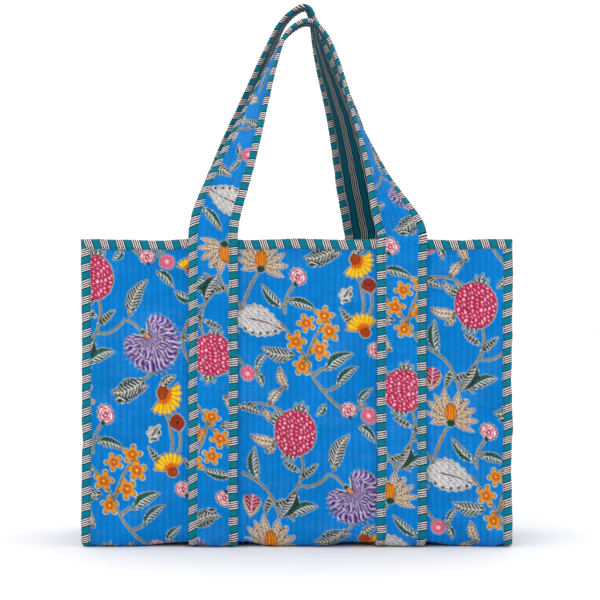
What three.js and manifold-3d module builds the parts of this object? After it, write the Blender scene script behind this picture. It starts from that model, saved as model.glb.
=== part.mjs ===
// A quilted cotton tote bag for knitting: a box body with bound seams, and two long strap handles.
// Each wall is three layers, printed cotton, batting and lining. One panel makes the front, bottom and
// back, and a gusset closes each end. Two straps run round the body and rise from its rim as handles.
import * as THREE from "three";
import { mergeVertices } from "three/addons/utils/BufferGeometryUtils.js";
import Module from "manifold-3d";

const wasm = await Module();
wasm.setup();

// Driving dimensions in millimetres. X runs across the bag, Y from front to back, Z up from the floor.
const BAG_WIDTH = 450; // over the bound side seams
const BAG_DEPTH = 170; // over the outer cotton of front and back
const RIM_HEIGHT = 323; // floor to the top of the rim binding
const CORNER_RADIUS = 14; // fold from front or back into the bottom
const COTTON = 0.5;
const BATTING = 2;
const GAP = 0.3; // between neighbouring pieces
const BINDING_WIDTH = 9.5;
const RIM_BINDING_WIDTH = 10;
const STRAP_WIDTH = 52;
const STRAP_BATTING = 1.2;
const FRONT_STRAP_SPAN = 198; // between the centre lines of the front legs
const FRONT_STRAP_SHIFT = 11; // of their middle, to the right of the bag's
const BACK_STRAP_SPAN = 174;
const BACK_STRAP_SHIFT = -8;
const FRONT_HANDLE_HEIGHT = 232; // rim to the underside of the peak
const BACK_HANDLE_HEIGHT = 254;
const BACK_PEAK_LEAN = 17; // of the back handle's peak, to the right of its own middle
const PEAK_DEPTH = 28; // from the bag's middle plane to a peak's centre line
const STRAP_END_ROOM = 1.25; // each side of the rim, where a handle folds

// Levels through the strap, measured outwards from its inner face.
const STRAP_THICKNESS = 4 * COTTON + 4 * GAP + STRAP_BATTING;
const STRAP_BACKING = [COTTON + GAP, 2 * COTTON + GAP];
const STRAP_CORE = [2 * COTTON + 2 * GAP, 2 * COTTON + 2 * GAP + STRAP_BATTING];
const STRAP_FACE = [STRAP_CORE[1] + GAP, STRAP_CORE[1] + GAP + COTTON];

// Levels through the wall, measured inwards from its outer face, and across the bag from its middle.
const WALL_OUTER = [0, COTTON];
const WALL_BATTING = [COTTON + GAP, COTTON + GAP + BATTING];
const WALL_LINING = [WALL_BATTING[1] + GAP, WALL_BATTING[1] + GAP + COTTON];
const FLANGE = [WALL_LINING[1] + GAP, WALL_LINING[1] + GAP + COTTON];
const SEAM_BINDING = [-GAP - COTTON, FLANGE[1] + GAP + COTTON];
const RIM_OUTSIDE = SEAM_BINDING[0] - GAP - COTTON;

const HALF_WIDTH = BAG_WIDTH / 2;
const HALF_DEPTH = BAG_DEPTH / 2;
const FLOOR_LEVEL = STRAP_THICKNESS + GAP; // underside of the body, which stands on its straps
const WALL_TOP = RIM_HEIGHT - COTTON - GAP;
const SEAM_EDGE = HALF_WIDTH - COTTON - GAP; // where the sewn layers end inside the seam binding
const SEAM_START = HALF_WIDTH - BINDING_WIDTH;
const GUSSET_OUTER = [SEAM_START - GAP - 2 * COTTON, SEAM_START - GAP - COTTON];
const GUSSET_BATTING = [GUSSET_OUTER[0] - GAP - BATTING, GUSSET_OUTER[0] - GAP];
const GUSSET_LINING = [GUSSET_BATTING[0] - GAP - COTTON, GUSSET_BATTING[0] - GAP];
const STRAP_AT_RIM = -RIM_OUTSIDE + GAP; // how far the strap stands off the wall to pass the rim binding

const CORNER_STEPS = 5;
const HANDLE_STEPS = 60;

// How a leg goes from rim to peak. Its outline, seen from the front, is a share of the half span and a
// share of the height. Its twist and lean are powers: a twist above 1 turns faster near the rim, and a
// lean above 1 leaves the rim upright.
const LEFT_LEG = {
  twist: 1.3,
  lean: 1.3,
  outline: [
    [1, 0],
    [1, 0.025],
    [0.975, 0.085],
    [0.87, 0.215],
    [0.69, 0.42],
    [0.505, 0.64],
    [0.365, 0.81],
    [0.25, 0.925],
    [0.12, 0.98],
  ],
};
const FRONT_RIGHT_LEG = {
  twist: 3.4,
  lean: 0.75,
  outline: [
    [1, 0],
    [1, 0.02],
    [0.95, 0.07],
    [0.83, 0.18],
    [0.765, 0.25],
    [0.64, 0.41],
    [0.53, 0.53],
    [0.45, 0.625],
    [0.36, 0.735],
    [0.27, 0.84],
    [0.185, 0.925],
    [0.09, 0.98],
  ],
};
const BACK_RIGHT_LEG = {
  twist: 1,
  lean: 1.3,
  outline: [
    [1, 0],
    [1, 0.025],
    [0.965, 0.085],
    [0.9, 0.19],
    [0.72, 0.405],
    [0.495, 0.622],
    [0.34, 0.753],
    [0.21, 0.864],
    [0.105, 0.95],
  ],
};

// Materials, with the colours that each cloth has from a distance.
const cloth = (color, roughness) => new THREE.MeshStandardMaterial({ color, roughness, metalness: 0 });
const floralPrint = cloth(0x0a7bc8, 0.85);
const stripedBinding = cloth(0x5c9dad, 0.85);
const stripedLining = cloth(0x235f70, 0.9);
const wadding = cloth(0xf1ede2, 1);

// A geometry as a manifold-3d solid, and back.
function toSolid(geometry) {
  const bare = geometry.clone();
  bare.deleteAttribute("normal");
  bare.deleteAttribute("uv");
  const merged = mergeVertices(bare, 1e-4);
  const vertProperties = merged.attributes.position.array;
  const triVerts = new Uint32Array(merged.index.array);
  return new wasm.Manifold(new wasm.Mesh({ numProp: 3, vertProperties, triVerts }));
}

function fromSolid(solid) {
  const mesh = solid.getMesh();
  const geometry = new THREE.BufferGeometry();
  geometry.setAttribute("position", new THREE.BufferAttribute(mesh.vertProperties, 3));
  geometry.setIndex(new THREE.BufferAttribute(mesh.triVerts, 1));
  geometry.computeVertexNormals();
  return geometry;
}

// Turns every triangle round if the closed geometry faces inwards.
function facingOut(geometry) {
  const flat = geometry.index ? geometry.toNonIndexed() : geometry;
  const position = flat.attributes.position;
  const [a, b, c] = [new THREE.Vector3(), new THREE.Vector3(), new THREE.Vector3()];
  let volume = 0;
  for (let i = 0; i < position.count; i += 3) {
    a.fromBufferAttribute(position, i);
    b.fromBufferAttribute(position, i + 1);
    c.fromBufferAttribute(position, i + 2);
    volume += a.dot(b.cross(c));
  }
  if (volume < 0) {
    for (let i = 0; i < position.count; i += 3) {
      b.fromBufferAttribute(position, i + 1);
      c.fromBufferAttribute(position, i + 2);
      position.setXYZ(i + 1, c.x, c.y, c.z);
      position.setXYZ(i + 2, b.x, b.y, b.z);
    }
  }
  flat.deleteAttribute("uv");
  flat.computeVertexNormals();
  return flat;
}

// An outline in the Y-Z plane pushed along X from x0 to x1.
function alongX(shape, x0, x1) {
  const settings = { depth: x1 - x0, steps: 1, bevelEnabled: false, curveSegments: CORNER_STEPS };
  const geometry = new THREE.ExtrudeGeometry(shape, settings);
  const axes = new THREE.Matrix4().makeBasis(
    new THREE.Vector3(0, 1, 0),
    new THREE.Vector3(0, 0, 1),
    new THREE.Vector3(1, 0, 0),
  );
  return geometry.applyMatrix4(axes).translate(x0, 0, 0);
}

// Two rounded corners of the body's section, at a level inwards from its outer face.
function addCorners(shape, level, backwards) {
  const radius = CORNER_RADIUS - level;
  const across = HALF_DEPTH - CORNER_RADIUS;
  const up = FLOOR_LEVEL + CORNER_RADIUS;
  if (backwards) {
    shape.absarc(across, up, radius, 0, -Math.PI / 2, true);
    shape.absarc(-across, up, radius, -Math.PI / 2, -Math.PI, true);
  } else {
    shape.absarc(-across, up, radius, Math.PI, 1.5 * Math.PI, false);
    shape.absarc(across, up, radius, -Math.PI / 2, 0, false);
  }
}

// The U of front, bottom and back between two levels.
function wallOutline([near, far], top) {
  const shape = new THREE.Shape();
  shape.moveTo(-HALF_DEPTH + far, top);
  shape.lineTo(-HALF_DEPTH + near, top);
  addCorners(shape, near, false);
  shape.lineTo(HALF_DEPTH - near, top);
  shape.lineTo(HALF_DEPTH - far, top);
  addCorners(shape, far, true);
  return shape;
}

// The end panel that fits inside the U at one level.
function gussetOutline(level) {
  const shape = new THREE.Shape();
  shape.moveTo(HALF_DEPTH - level, WALL_TOP);
  shape.lineTo(-HALF_DEPTH + level, WALL_TOP);
  addCorners(shape, level, false);
  return shape;
}

const body = new THREE.Group();

function addPiece(name, geometry, material, parent = body) {
  const mesh = new THREE.Mesh(geometry, material);
  mesh.name = name;
  parent.add(mesh);
}

// Front, bottom and back in one length of quilted cloth.
function addWrap() {
  const batting = GUSSET_OUTER[0] - GAP;
  addPiece("outer_wrap", alongX(wallOutline(WALL_OUTER, WALL_TOP), -SEAM_EDGE, SEAM_EDGE), floralPrint);
  addPiece("batting_wrap", alongX(wallOutline(WALL_BATTING, WALL_TOP), -batting, batting), wadding);
  addPiece("lining_wrap", alongX(wallOutline(WALL_LINING, WALL_TOP), -SEAM_EDGE, SEAM_EDGE), stripedLining);
}

// One end of the bag: its side is 1 on the right and -1 on the left.
function addGusset(label, side) {
  const end = new THREE.Group();
  end.rotation.z = side > 0 ? 0 : Math.PI;
  const panel = gussetOutline(FLANGE[0]);
  const plate = alongX(gussetOutline(FLANGE[1]), ...GUSSET_OUTER);
  const flange = alongX(wallOutline(FLANGE, WALL_TOP), GUSSET_OUTER[0], SEAM_EDGE);
  const overlapped = alongX(panel, GUSSET_OUTER[0], GUSSET_OUTER[1]);
  const outer = fromSolid(toSolid(plate).add(toSolid(overlapped)).add(toSolid(flange)));
  addPiece("gusset_" + label + "_outer", outer, floralPrint, end);
  addPiece("gusset_" + label + "_batting", alongX(panel, ...GUSSET_BATTING), wadding, end);
  addPiece("gusset_" + label + "_lining", alongX(panel, ...GUSSET_LINING), stripedLining, end);
  addPiece("seam_binding_" + label, seamBinding(), stripedBinding, end);
  body.add(end);
}

// A folded strip over the seam's raw edges, down the front, under the bottom and up the back.
function seamBinding() {
  const strip = alongX(wallOutline(SEAM_BINDING, WALL_TOP), SEAM_START, HALF_WIDTH);
  const held = [SEAM_BINDING[0] + COTTON, SEAM_BINDING[1] - COTTON];
  const slot = alongX(wallOutline(held, WALL_TOP + 1), SEAM_START - 1, HALF_WIDTH - COTTON);
  return fromSolid(toSolid(strip).subtract(toSolid(slot)));
}

// The rim seen from above: the walls' top edges with an ear at each corner for the bound seam.
function rimOutline(grow) {
  const x = HALF_WIDTH + GAP + grow;
  const y = HALF_DEPTH - SEAM_BINDING[0] + GAP + grow;
  const ear = HALF_DEPTH - SEAM_BINDING[1] - GAP - grow;
  const side = GUSSET_OUTER[1] + GAP + grow;
  const shape = new THREE.Shape();
  const quarter = [
    [x, y],
    [x, ear],
    [side, ear],
  ];
  const mirrored = (points, sx, sy) => points.map(([px, py]) => new THREE.Vector2(px * sx, py * sy));
  shape.setFromPoints([
    ...mirrored(quarter, 1, 1),
    ...mirrored([...quarter].reverse(), 1, -1),
    ...mirrored(quarter, -1, -1),
    ...mirrored([...quarter].reverse(), -1, 1),
  ]);
  const insideX = GUSSET_LINING[0] - GAP - grow;
  const insideY = HALF_DEPTH - WALL_LINING[1] - GAP - grow;
  const hole = new THREE.Path();
  hole.moveTo(-insideX, -insideY);
  hole.lineTo(insideX, -insideY);
  hole.lineTo(insideX, insideY);
  hole.lineTo(-insideX, insideY);
  shape.holes.push(hole);
  return shape;
}

// A folded strip over the rim, all the way round.
function addRimBinding() {
  const upright = (shape, depth, z) =>
    new THREE.ExtrudeGeometry(shape, { depth, steps: 1, bevelEnabled: false }).translate(0, 0, z);
  const bottom = RIM_HEIGHT - RIM_BINDING_WIDTH;
  const strip = upright(rimOutline(COTTON), RIM_BINDING_WIDTH, bottom);
  const slot = upright(rimOutline(0), RIM_BINDING_WIDTH, bottom - COTTON);
  addPiece("rim_binding", fromSolid(toSolid(strip).subtract(toSolid(slot))), stripedBinding);
}

// Sections across a strap: u runs across it, and the level runs outwards from its inner face.
const HALF_STRAP = STRAP_WIDTH / 2;
const LAYER_EDGE = HALF_STRAP - COTTON - GAP;
const CROWN_EDGE = HALF_STRAP - BINDING_WIDTH - GAP;

function outline(points) {
  return new THREE.Shape(points.map(([u, level]) => new THREE.Vector2(u, level)));
}

// A cotton layer whose edges lie under the bindings and whose middle stands level with them.
function crownedSection([low, high], crown) {
  const flangeSide = crown > high ? high : low;
  const flatSide = crown > high ? low : high;
  return outline([
    [-LAYER_EDGE, flatSide],
    [LAYER_EDGE, flatSide],
    [LAYER_EDGE, flangeSide],
    [CROWN_EDGE, flangeSide],
    [CROWN_EDGE, crown],
    [-CROWN_EDGE, crown],
    [-CROWN_EDGE, flangeSide],
    [-LAYER_EDGE, flangeSide],
  ]);
}

function flatSection([low, high]) {
  return outline([
    [-LAYER_EDGE, low],
    [LAYER_EDGE, low],
    [LAYER_EDGE, high],
    [-LAYER_EDGE, high],
  ]);
}

// The C of a strip folded over one edge of the strap.
function edgeSection(side) {
  const inner = HALF_STRAP - BINDING_WIDTH;
  const fold = HALF_STRAP - COTTON;
  const top = STRAP_THICKNESS;
  return outline(
    [
      [inner, 0],
      [HALF_STRAP, 0],
      [HALF_STRAP, top],
      [inner, top],
      [inner, top - COTTON],
      [fold, top - COTTON],
      [fold, COTTON],
      [inner, COTTON],
    ].map(([u, level]) => [u * side, level]),
  );
}

// Where a point of a section lies at one station of a strap's run.
function placeOnRun(run, index, u, level) {
  const station = run[index];
  return station.point.clone().addScaledVector(station.across, u).addScaledVector(station.out, level);
}

// Gives the quads across a strap one slant, so that neighbouring faces keep their distance in a twist.
function slantAlike(geometry, { start, count }) {
  const position = geometry.attributes.position;
  const corner = (i) => new THREE.Vector3().fromBufferAttribute(position, i);
  for (let i = start; i < start + count; i += 6) {
    const [a, b, d, c] = [0, 1, 2, 4].map((k) => corner(i + k));
    if ((b.x - d.x) * (b.z - d.z) > 0) {
      [a, b, c, a, c, d].forEach((p, k) => position.setXYZ(i + k, p.x, p.y, p.z));
    }
  }
}

function bend(geometry, run, read) {
  const position = geometry.attributes.position;
  for (let i = 0; i < position.count; i++) {
    const { index, u, level } = read(position.getX(i), position.getY(i), position.getZ(i));
    const placed = placeOnRun(run, index, u, level);
    position.setXYZ(i, placed.x, placed.y, placed.z);
  }
  return facingOut(geometry);
}

// A section swept along a run.
function sweep(section, run) {
  const steps = run.length - 1;
  const geometry = new THREE.ExtrudeGeometry(section, { depth: steps, steps, bevelEnabled: false });
  slantAlike(geometry, geometry.groups[1]);
  return bend(geometry, run, (x, y, z) => ({ index: Math.round(z), u: x, level: y }));
}

// A flat layer along a twisting run, with columns that match the bindings' edges.
function ribbon([low, high], run) {
  const columns = [-LAYER_EDGE, -CROWN_EDGE, CROWN_EDGE, LAYER_EDGE];
  const across = columns.length - 1;
  const steps = run.length - 1;
  const geometry = new THREE.BoxGeometry(across, 1, steps, across, 1, steps).toNonIndexed();
  slantAlike(geometry, geometry.groups[2]);
  slantAlike(geometry, geometry.groups[3]);
  return bend(geometry, run, (x, y, z) => ({
    index: Math.round(z + steps / 2),
    u: columns[Math.round(x + across / 2)],
    level: y > 0 ? high : low,
  }));
}

// Half the run of a lower strap: from the rim down the front, round the corner, to the bottom's middle.
function frontHalf() {
  const clear = RIM_HEIGHT - RIM_BINDING_WIDTH - STRAP_THICKNESS;
  const landed = clear - 4 * RIM_BINDING_WIDTH;
  const flat = [
    [RIM_HEIGHT - STRAP_END_ROOM, STRAP_AT_RIM],
    [clear, STRAP_AT_RIM],
    [(clear + landed) / 2, (STRAP_AT_RIM + GAP) / 2],
    [landed, GAP],
  ].map(([z, off]) => ({ y: -HALF_DEPTH - off, z, angle: Math.PI }));
  const radius = CORNER_RADIUS + GAP;
  const corner = Array.from({ length: CORNER_STEPS + 1 }, (_, i) => {
    const angle = Math.PI * (1 + (0.5 * i) / CORNER_STEPS);
    return {
      y: -HALF_DEPTH + CORNER_RADIUS + radius * Math.cos(angle),
      z: FLOOR_LEVEL + CORNER_RADIUS + radius * Math.sin(angle),
      angle,
    };
  });
  return [...flat, ...corner];
}

// The whole run under the body. The strap reaches the back rim a little nearer the middle.
function lowerRun(frontX, backX) {
  const front = frontHalf();
  const back = front.map(({ y, z, angle }) => ({ y: -y, z, angle: 3 * Math.PI - angle })).reverse();
  return [...front, ...back].map(({ y, z, angle }) => {
    const share = (y + HALF_DEPTH + STRAP_AT_RIM) / (2 * (HALF_DEPTH + STRAP_AT_RIM));
    return {
      point: new THREE.Vector3(frontX + (backX - frontX) * share, y, z),
      across: new THREE.Vector3(1, 0, 0),
      out: new THREE.Vector3(0, Math.cos(angle), Math.sin(angle)),
    };
  });
}

function addLowerStrap(label, side) {
  const frontX = FRONT_STRAP_SHIFT + (side * FRONT_STRAP_SPAN) / 2;
  const backX = BACK_STRAP_SHIFT + (side * BACK_STRAP_SPAN) / 2;
  const run = lowerRun(frontX, backX);
  const name = "lower_strap_" + label;
  addPiece(name + "_face", sweep(crownedSection(STRAP_FACE, STRAP_THICKNESS), run), floralPrint);
  addPiece(name + "_batting", sweep(flatSection(STRAP_CORE), run), wadding);
  addPiece(name + "_backing", sweep(crownedSection(STRAP_BACKING, 0), run), stripedLining);
  addPiece(name + "_binding_left", sweep(edgeSection(-1), run), stripedBinding);
  addPiece(name + "_binding_right", sweep(edgeSection(1), run), stripedBinding);
}

// The curve of a front handle's inner face, from its left foot over the peak to its right foot.
function handleCurve({ span, shift, height, peakLean, legs }) {
  const foot = -HALF_DEPTH - STRAP_AT_RIM;
  const spot = (share, rise, side, lean) =>
    new THREE.Vector3(
      shift + (side * share * span) / 2 + peakLean * rise * rise,
      foot + (-PEAK_DEPTH - foot) * rise ** lean,
      RIM_HEIGHT + STRAP_END_ROOM + rise * height,
    );
  const left = legs[0].outline.map(([share, rise]) => spot(share, rise, -1, legs[0].lean));
  const right = legs[1].outline.map(([share, rise]) => spot(share, rise, 1, legs[1].lean)).reverse();
  return new THREE.CatmullRomCurve3([...left, spot(0, 1, 1, 1), ...right], false, "centripetal");
}

// The handle's band faces forwards at the rim and turns a quarter, to face upwards at the peak.
function handleRun(curve, { height, legs }) {
  return Array.from({ length: HANDLE_STEPS + 1 }, (_, i) => {
    const point = curve.getPointAt(i / HANDLE_STEPS);
    const along = curve.getTangentAt(i / HANDLE_STEPS);
    const rise = THREE.MathUtils.clamp((point.z - RIM_HEIGHT - STRAP_END_ROOM) / height, 0, 1);
    const leg = along.z > 0 ? legs[0] : legs[1];
    const twist = (Math.PI / 2) * (1 - (1 - rise) ** leg.twist);
    const outwards = new THREE.Vector3(-along.z, 0, along.x).normalize();
    const forwards = along.clone().cross(outwards);
    const out = forwards.multiplyScalar(Math.cos(twist)).addScaledVector(outwards, Math.sin(twist));
    return { point, across: along.clone().cross(out), out };
  });
}

// A handle is drawn as the front one, and the back one is turned half round.
function addHandle(name, shape, turn) {
  const run = handleRun(handleCurve(shape), shape);
  const handle = new THREE.Group();
  handle.rotation.z = turn;
  addPiece(name + "_face", ribbon(STRAP_FACE, run), floralPrint, handle);
  addPiece(name + "_batting", ribbon(STRAP_CORE, run), wadding, handle);
  addPiece(name + "_backing", ribbon(STRAP_BACKING, run), stripedLining, handle);
  addPiece(name + "_binding_inner", sweep(edgeSection(1), run), stripedBinding, handle);
  addPiece(name + "_binding_outer", sweep(edgeSection(-1), run), stripedBinding, handle);
  body.add(handle);
}

addWrap();
addGusset("left", -1);
addGusset("right", 1);
addRimBinding();
addLowerStrap("left", -1);
addLowerStrap("right", 1);
const frontHandle = {
  span: FRONT_STRAP_SPAN,
  shift: FRONT_STRAP_SHIFT,
  height: FRONT_HANDLE_HEIGHT,
  peakLean: 0,
  legs: [LEFT_LEG, FRONT_RIGHT_LEG],
};
// Turned half round, the back handle's right leg is drawn on the left.
const backHandle = {
  span: BACK_STRAP_SPAN,
  shift: -BACK_STRAP_SHIFT,
  height: BACK_HANDLE_HEIGHT,
  peakLean: -BACK_PEAK_LEAN,
  legs: [BACK_RIGHT_LEG, LEFT_LEG],
};
addHandle("front_handle", frontHandle, 0);
addHandle("back_handle", backHandle, Math.PI);

export default body;
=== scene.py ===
"""The knitting bag's looks: a quilted cotton tote in a block-printed floral, with striped bias bindings.

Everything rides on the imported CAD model. Lengths in this script are millimetres, as in the CAD, and
become metres when a mesh is made. X runs across the bag, Y from front to back, and Z up from the floor.
"""

import math

import bpy
import numpy as np
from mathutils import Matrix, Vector


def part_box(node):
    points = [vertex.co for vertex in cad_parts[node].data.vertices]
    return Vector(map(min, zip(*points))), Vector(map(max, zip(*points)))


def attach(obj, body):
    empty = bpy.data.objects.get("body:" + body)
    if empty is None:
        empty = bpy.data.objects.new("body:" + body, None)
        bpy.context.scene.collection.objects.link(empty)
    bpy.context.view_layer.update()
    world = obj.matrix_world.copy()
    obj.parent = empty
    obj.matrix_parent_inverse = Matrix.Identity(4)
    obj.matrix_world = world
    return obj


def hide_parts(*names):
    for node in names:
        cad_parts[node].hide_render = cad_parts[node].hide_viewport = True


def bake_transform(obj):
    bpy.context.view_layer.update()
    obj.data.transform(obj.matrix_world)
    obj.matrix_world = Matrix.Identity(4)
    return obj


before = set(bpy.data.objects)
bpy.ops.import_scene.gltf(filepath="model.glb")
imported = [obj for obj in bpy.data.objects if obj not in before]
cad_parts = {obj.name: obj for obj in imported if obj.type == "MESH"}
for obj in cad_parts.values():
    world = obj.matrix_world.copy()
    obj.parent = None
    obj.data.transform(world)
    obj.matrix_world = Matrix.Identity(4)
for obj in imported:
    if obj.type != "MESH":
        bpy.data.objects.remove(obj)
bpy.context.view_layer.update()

MM = 0.001


# ---- Sizes, most of them read from the CAD nodes -------------------------------------------------------
def span(node):
    """A CAD node's lowest and highest corners in millimetres."""
    low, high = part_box(node)
    return np.array(low) / MM, np.array(high) / MM


WALL_LOW, WALL_HIGH = span("outer_wrap")
RIM_LOW, RIM_HIGH = span("rim_binding")
SEAM_LOW, SEAM_HIGH = span("seam_binding_right")
GUSSET_LOW, GUSSET_HIGH = span("gusset_right_batting")

HALF_DEPTH = WALL_HIGH[1]
FLOOR_LEVEL = WALL_LOW[2]
WALL_TOP = WALL_HIGH[2]
RIM_TOP = RIM_HIGH[2]
RIM_EDGE = RIM_LOW[2]
SEAM_START = SEAM_LOW[0]
SEAM_END = SEAM_HIGH[0]
GUSSET_FACE = GUSSET_HIGH[0] + 0.8
GUSSET_INSIDE = GUSSET_LOW[0] - 0.8
CORNER_RADIUS = 14.0
WALL_THICKNESS = 3.6
STRAP_HALF = 26.0
CLOTH_EDGE = 17.6  # half the width of strap cloth that shows between its bindings, and a little more
BINDING_WIDTH = 9.5
CHANNEL = 6.6  # between the quilting lines
STITCH = 4.2  # from one running stitch to the next

# How a leg goes from rim to peak. Its outline, seen from the front, is a share of the half span and a
# share of the height. Before it come two powers: a twist above 1 turns faster near the rim, and a lean
# above 1 leaves the rim upright.
LEFT_LEG = (1.3, 1.3, (
    (1, 0), (1, 0.025), (0.975, 0.085), (0.87, 0.215), (0.69, 0.42), (0.505, 0.64), (0.365, 0.81),
    (0.25, 0.925), (0.12, 0.98),
))
FRONT_RIGHT_LEG = (3.4, 0.75, (
    (1, 0), (1, 0.02), (0.95, 0.07), (0.83, 0.18), (0.765, 0.25), (0.64, 0.41), (0.53, 0.53),
    (0.45, 0.625), (0.36, 0.735), (0.27, 0.84), (0.185, 0.925), (0.09, 0.98),
))
BACK_RIGHT_LEG = (1.0, 1.3, (
    (1, 0), (1, 0.025), (0.965, 0.085), (0.9, 0.19), (0.72, 0.405), (0.495, 0.622), (0.34, 0.753),
    (0.21, 0.864), (0.105, 0.95),
))
FRONT = {
    "name": "front", "span": 198.0, "shift": 11.0, "height": 232.0, "lean": 0.0, "turn": 0,
    "legs": (LEFT_LEG, FRONT_RIGHT_LEG),
}
# Turned half round, the back handle's right leg is drawn on the left.
BACK = {
    "name": "back", "span": 174.0, "shift": 8.0, "height": 254.0, "lean": -17.0, "turn": 180,
    "legs": (BACK_RIGHT_LEG, LEFT_LEG),
}
PEAK_DEPTH = 28.0
STRAP_AT_RIM = 1.9
FOOT_HEIGHT = RIM_TOP + 1.25


# ---- The camera, in front of the bag and a little below its rim ----------------------------------------
def make_camera():
    data = bpy.data.cameras.new("camera")
    camera = bpy.data.objects.new("camera", data)
    bpy.context.scene.collection.objects.link(camera)
    bpy.context.scene.camera = camera
    distance, shown = 2.2, 0.6294  # from the front panel, and the width that the picture takes in there
    camera.location = (0.0031, -HALF_DEPTH * MM - distance, 0.300)
    camera.rotation_euler = (math.pi / 2, 0, 0)
    data.sensor_width = 36
    data.lens = 36 * distance / shown
    data.shift_y = -0.0635
    data.clip_start = 0.1
    data.clip_end = 30


make_camera()


# ---- The printed cotton: one block repeat, drawn in millimetres of cloth -------------------------------
DOT = 0.3  # side of one dot of the drawing
COLUMNS = 648  # dots across the repeat
ROWS = 980  # dots up the repeat, and each column of motifs drops by half of them
HALO_WIDTH = 0.6  # bare cloth that the dye resist leaves round each motif
# On the bag the cloth lies slightly askew: where a step right or up on the panel goes on the cloth.
SKEW = np.array([[1.0047, 0.0359], [0.0758, 1.0037]])


def rgb(red, green, blue):
    return np.array([red, green, blue]) / 255


BLUE = rgb(0, 116, 191)
CREAM = rgb(226, 212, 178)
BARE = rgb(212, 206, 186)
BLACK = rgb(16, 24, 32)
BROWN = rgb(104, 44, 30)
OLIVE = rgb(120, 108, 66)
GREEN = rgb(0, 70, 62)
MINT = rgb(104, 134, 104)
YELLOW = rgb(236, 190, 34)
GOLD = rgb(218, 152, 26)
SPECKLE_WHITE = rgb(232, 228, 228)
ORANGE = rgb(206, 98, 16)
RUST = rgb(156, 44, 24)
CRIMSON = rgb(156, 16, 54)
PINK = rgb(206, 62, 110)
BLUSH = rgb(240, 196, 204)
PURPLE = rgb(74, 36, 110)
LILAC = rgb(158, 132, 196)


def smooth_noise(rows, columns, size, seed):
    """A repeating field of soft noise from -1 to 1, with lumps of that size in dots, still at its sides."""
    draw = np.random.default_rng(seed).standard_normal((rows, columns))
    up = np.fft.fftfreq(rows)[:, None]
    across = np.fft.rfftfreq(columns)[None, :]
    soften = np.exp(-((up**2 + across**2) * (2.2 * size) ** 2))
    field = np.fft.irfft2(np.fft.rfft2(draw) * soften, s=(rows, columns))
    column = np.arange(columns) + 0.5
    calm = np.clip(np.minimum(column, columns - column) / 24, 0, 1)
    return np.clip(field / (2 * field.std()), -1, 1) * calm


class Drawing:
    """Inks laid over the bare halos, on a sheet that repeats."""

    def __init__(self):
        self.ink = np.zeros((ROWS, COLUMNS, 3))
        self.cover = np.zeros((ROWS, COLUMNS))
        self.halo = np.zeros((ROWS, COLUMNS))
        self.waver = [0.45 * smooth_noise(ROWS, COLUMNS, 9, seed) for seed in (3, 4)]

    def near(self, x, y, reach):
        """The dots within reach of a place, and how far right of and above it each one is."""
        column = np.arange(int((x - reach) // DOT), int((x + reach) // DOT) + 1)
        row = np.arange(int((y - reach) // DOT), int((y + reach) // DOT) + 1)
        drop = (column // COLUMNS) * (ROWS // 2)
        self.rows = (row[:, None] + drop[None, :]) % ROWS
        self.columns = np.broadcast_to(column % COLUMNS, self.rows.shape)
        right = (column[None, :] + 0.5) * DOT - x + self.waver[0][self.rows, self.columns]
        above = (row[:, None] + 0.5) * DOT - y + self.waver[1][self.rows, self.columns]
        return right, above

    def facing(self, x, y, reach, turn):
        """The dots near a place on the panel: how far along a direction, and to its left, each one is."""
        return turned(*self.near(*on_cloth(x, y), reach), turn)

    def fill(self, color, *distances):
        """Inks the dots that lie inside all of some outlines, from their signed distances."""
        distance = distances[0]
        for other in distances[1:]:
            distance = np.maximum(distance, other)
        share = np.clip(0.5 - distance / DOT, 0, 1)
        here = self.rows, self.columns
        self.ink[here] = self.ink[here] * (1 - share[..., None]) + share[..., None] * color
        self.cover[here] = self.cover[here] * (1 - share) + share

    def resist(self, distance, width=HALO_WIDTH):
        """Keeps the dye off the cloth inside an outline, and a little way round it."""
        share = np.clip(0.5 - (distance - width) / (2 * DOT), 0, 1)
        here = self.rows, self.columns
        self.halo[here] = np.maximum(self.halo[here], share)

    def finished(self):
        """The whole sheet's colours: the dyed ground, its bare halos and the inks over both."""
        ground = BLUE + (BARE - BLUE) * self.halo[..., None]
        return ground * (1 - self.cover[..., None]) + self.ink


def on_cloth(x, y):
    """Where a point of the front panel, measured from its middle and from the floor, is on the cloth."""
    return SKEW @ np.array([x, y], float)


def way_to(x, y, tip_x, tip_y):
    """The length and the direction of the way from a base to a tip."""
    return math.hypot(tip_x - x, tip_y - y), math.degrees(math.atan2(tip_y - y, tip_x - x))


def unit(turn):
    return math.cos(math.radians(turn)), math.sin(math.radians(turn))


def turned(right, above, turn):
    """Coordinates along and to the left of a direction, given in degrees from the panel's right."""
    cos, sin = unit(turn)
    return right * cos + above * sin, above * cos - right * sin


def blade(p, q, length, width, bend, fullness=0.85):
    """Signed distance to a leaf that starts at 0 and runs along p, and the offset from its midrib."""
    t = np.clip(p / length, 0, 1)
    rib = q - bend * length * 4 * t * (1 - t)
    gap = np.abs(rib) - width / 2 * np.sin(np.pi * t**fullness) ** 0.85
    over = np.maximum(np.maximum(-p, p - length), 0)
    return np.where(over > 0, np.hypot(np.maximum(gap, 0), over), gap), rib


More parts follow.
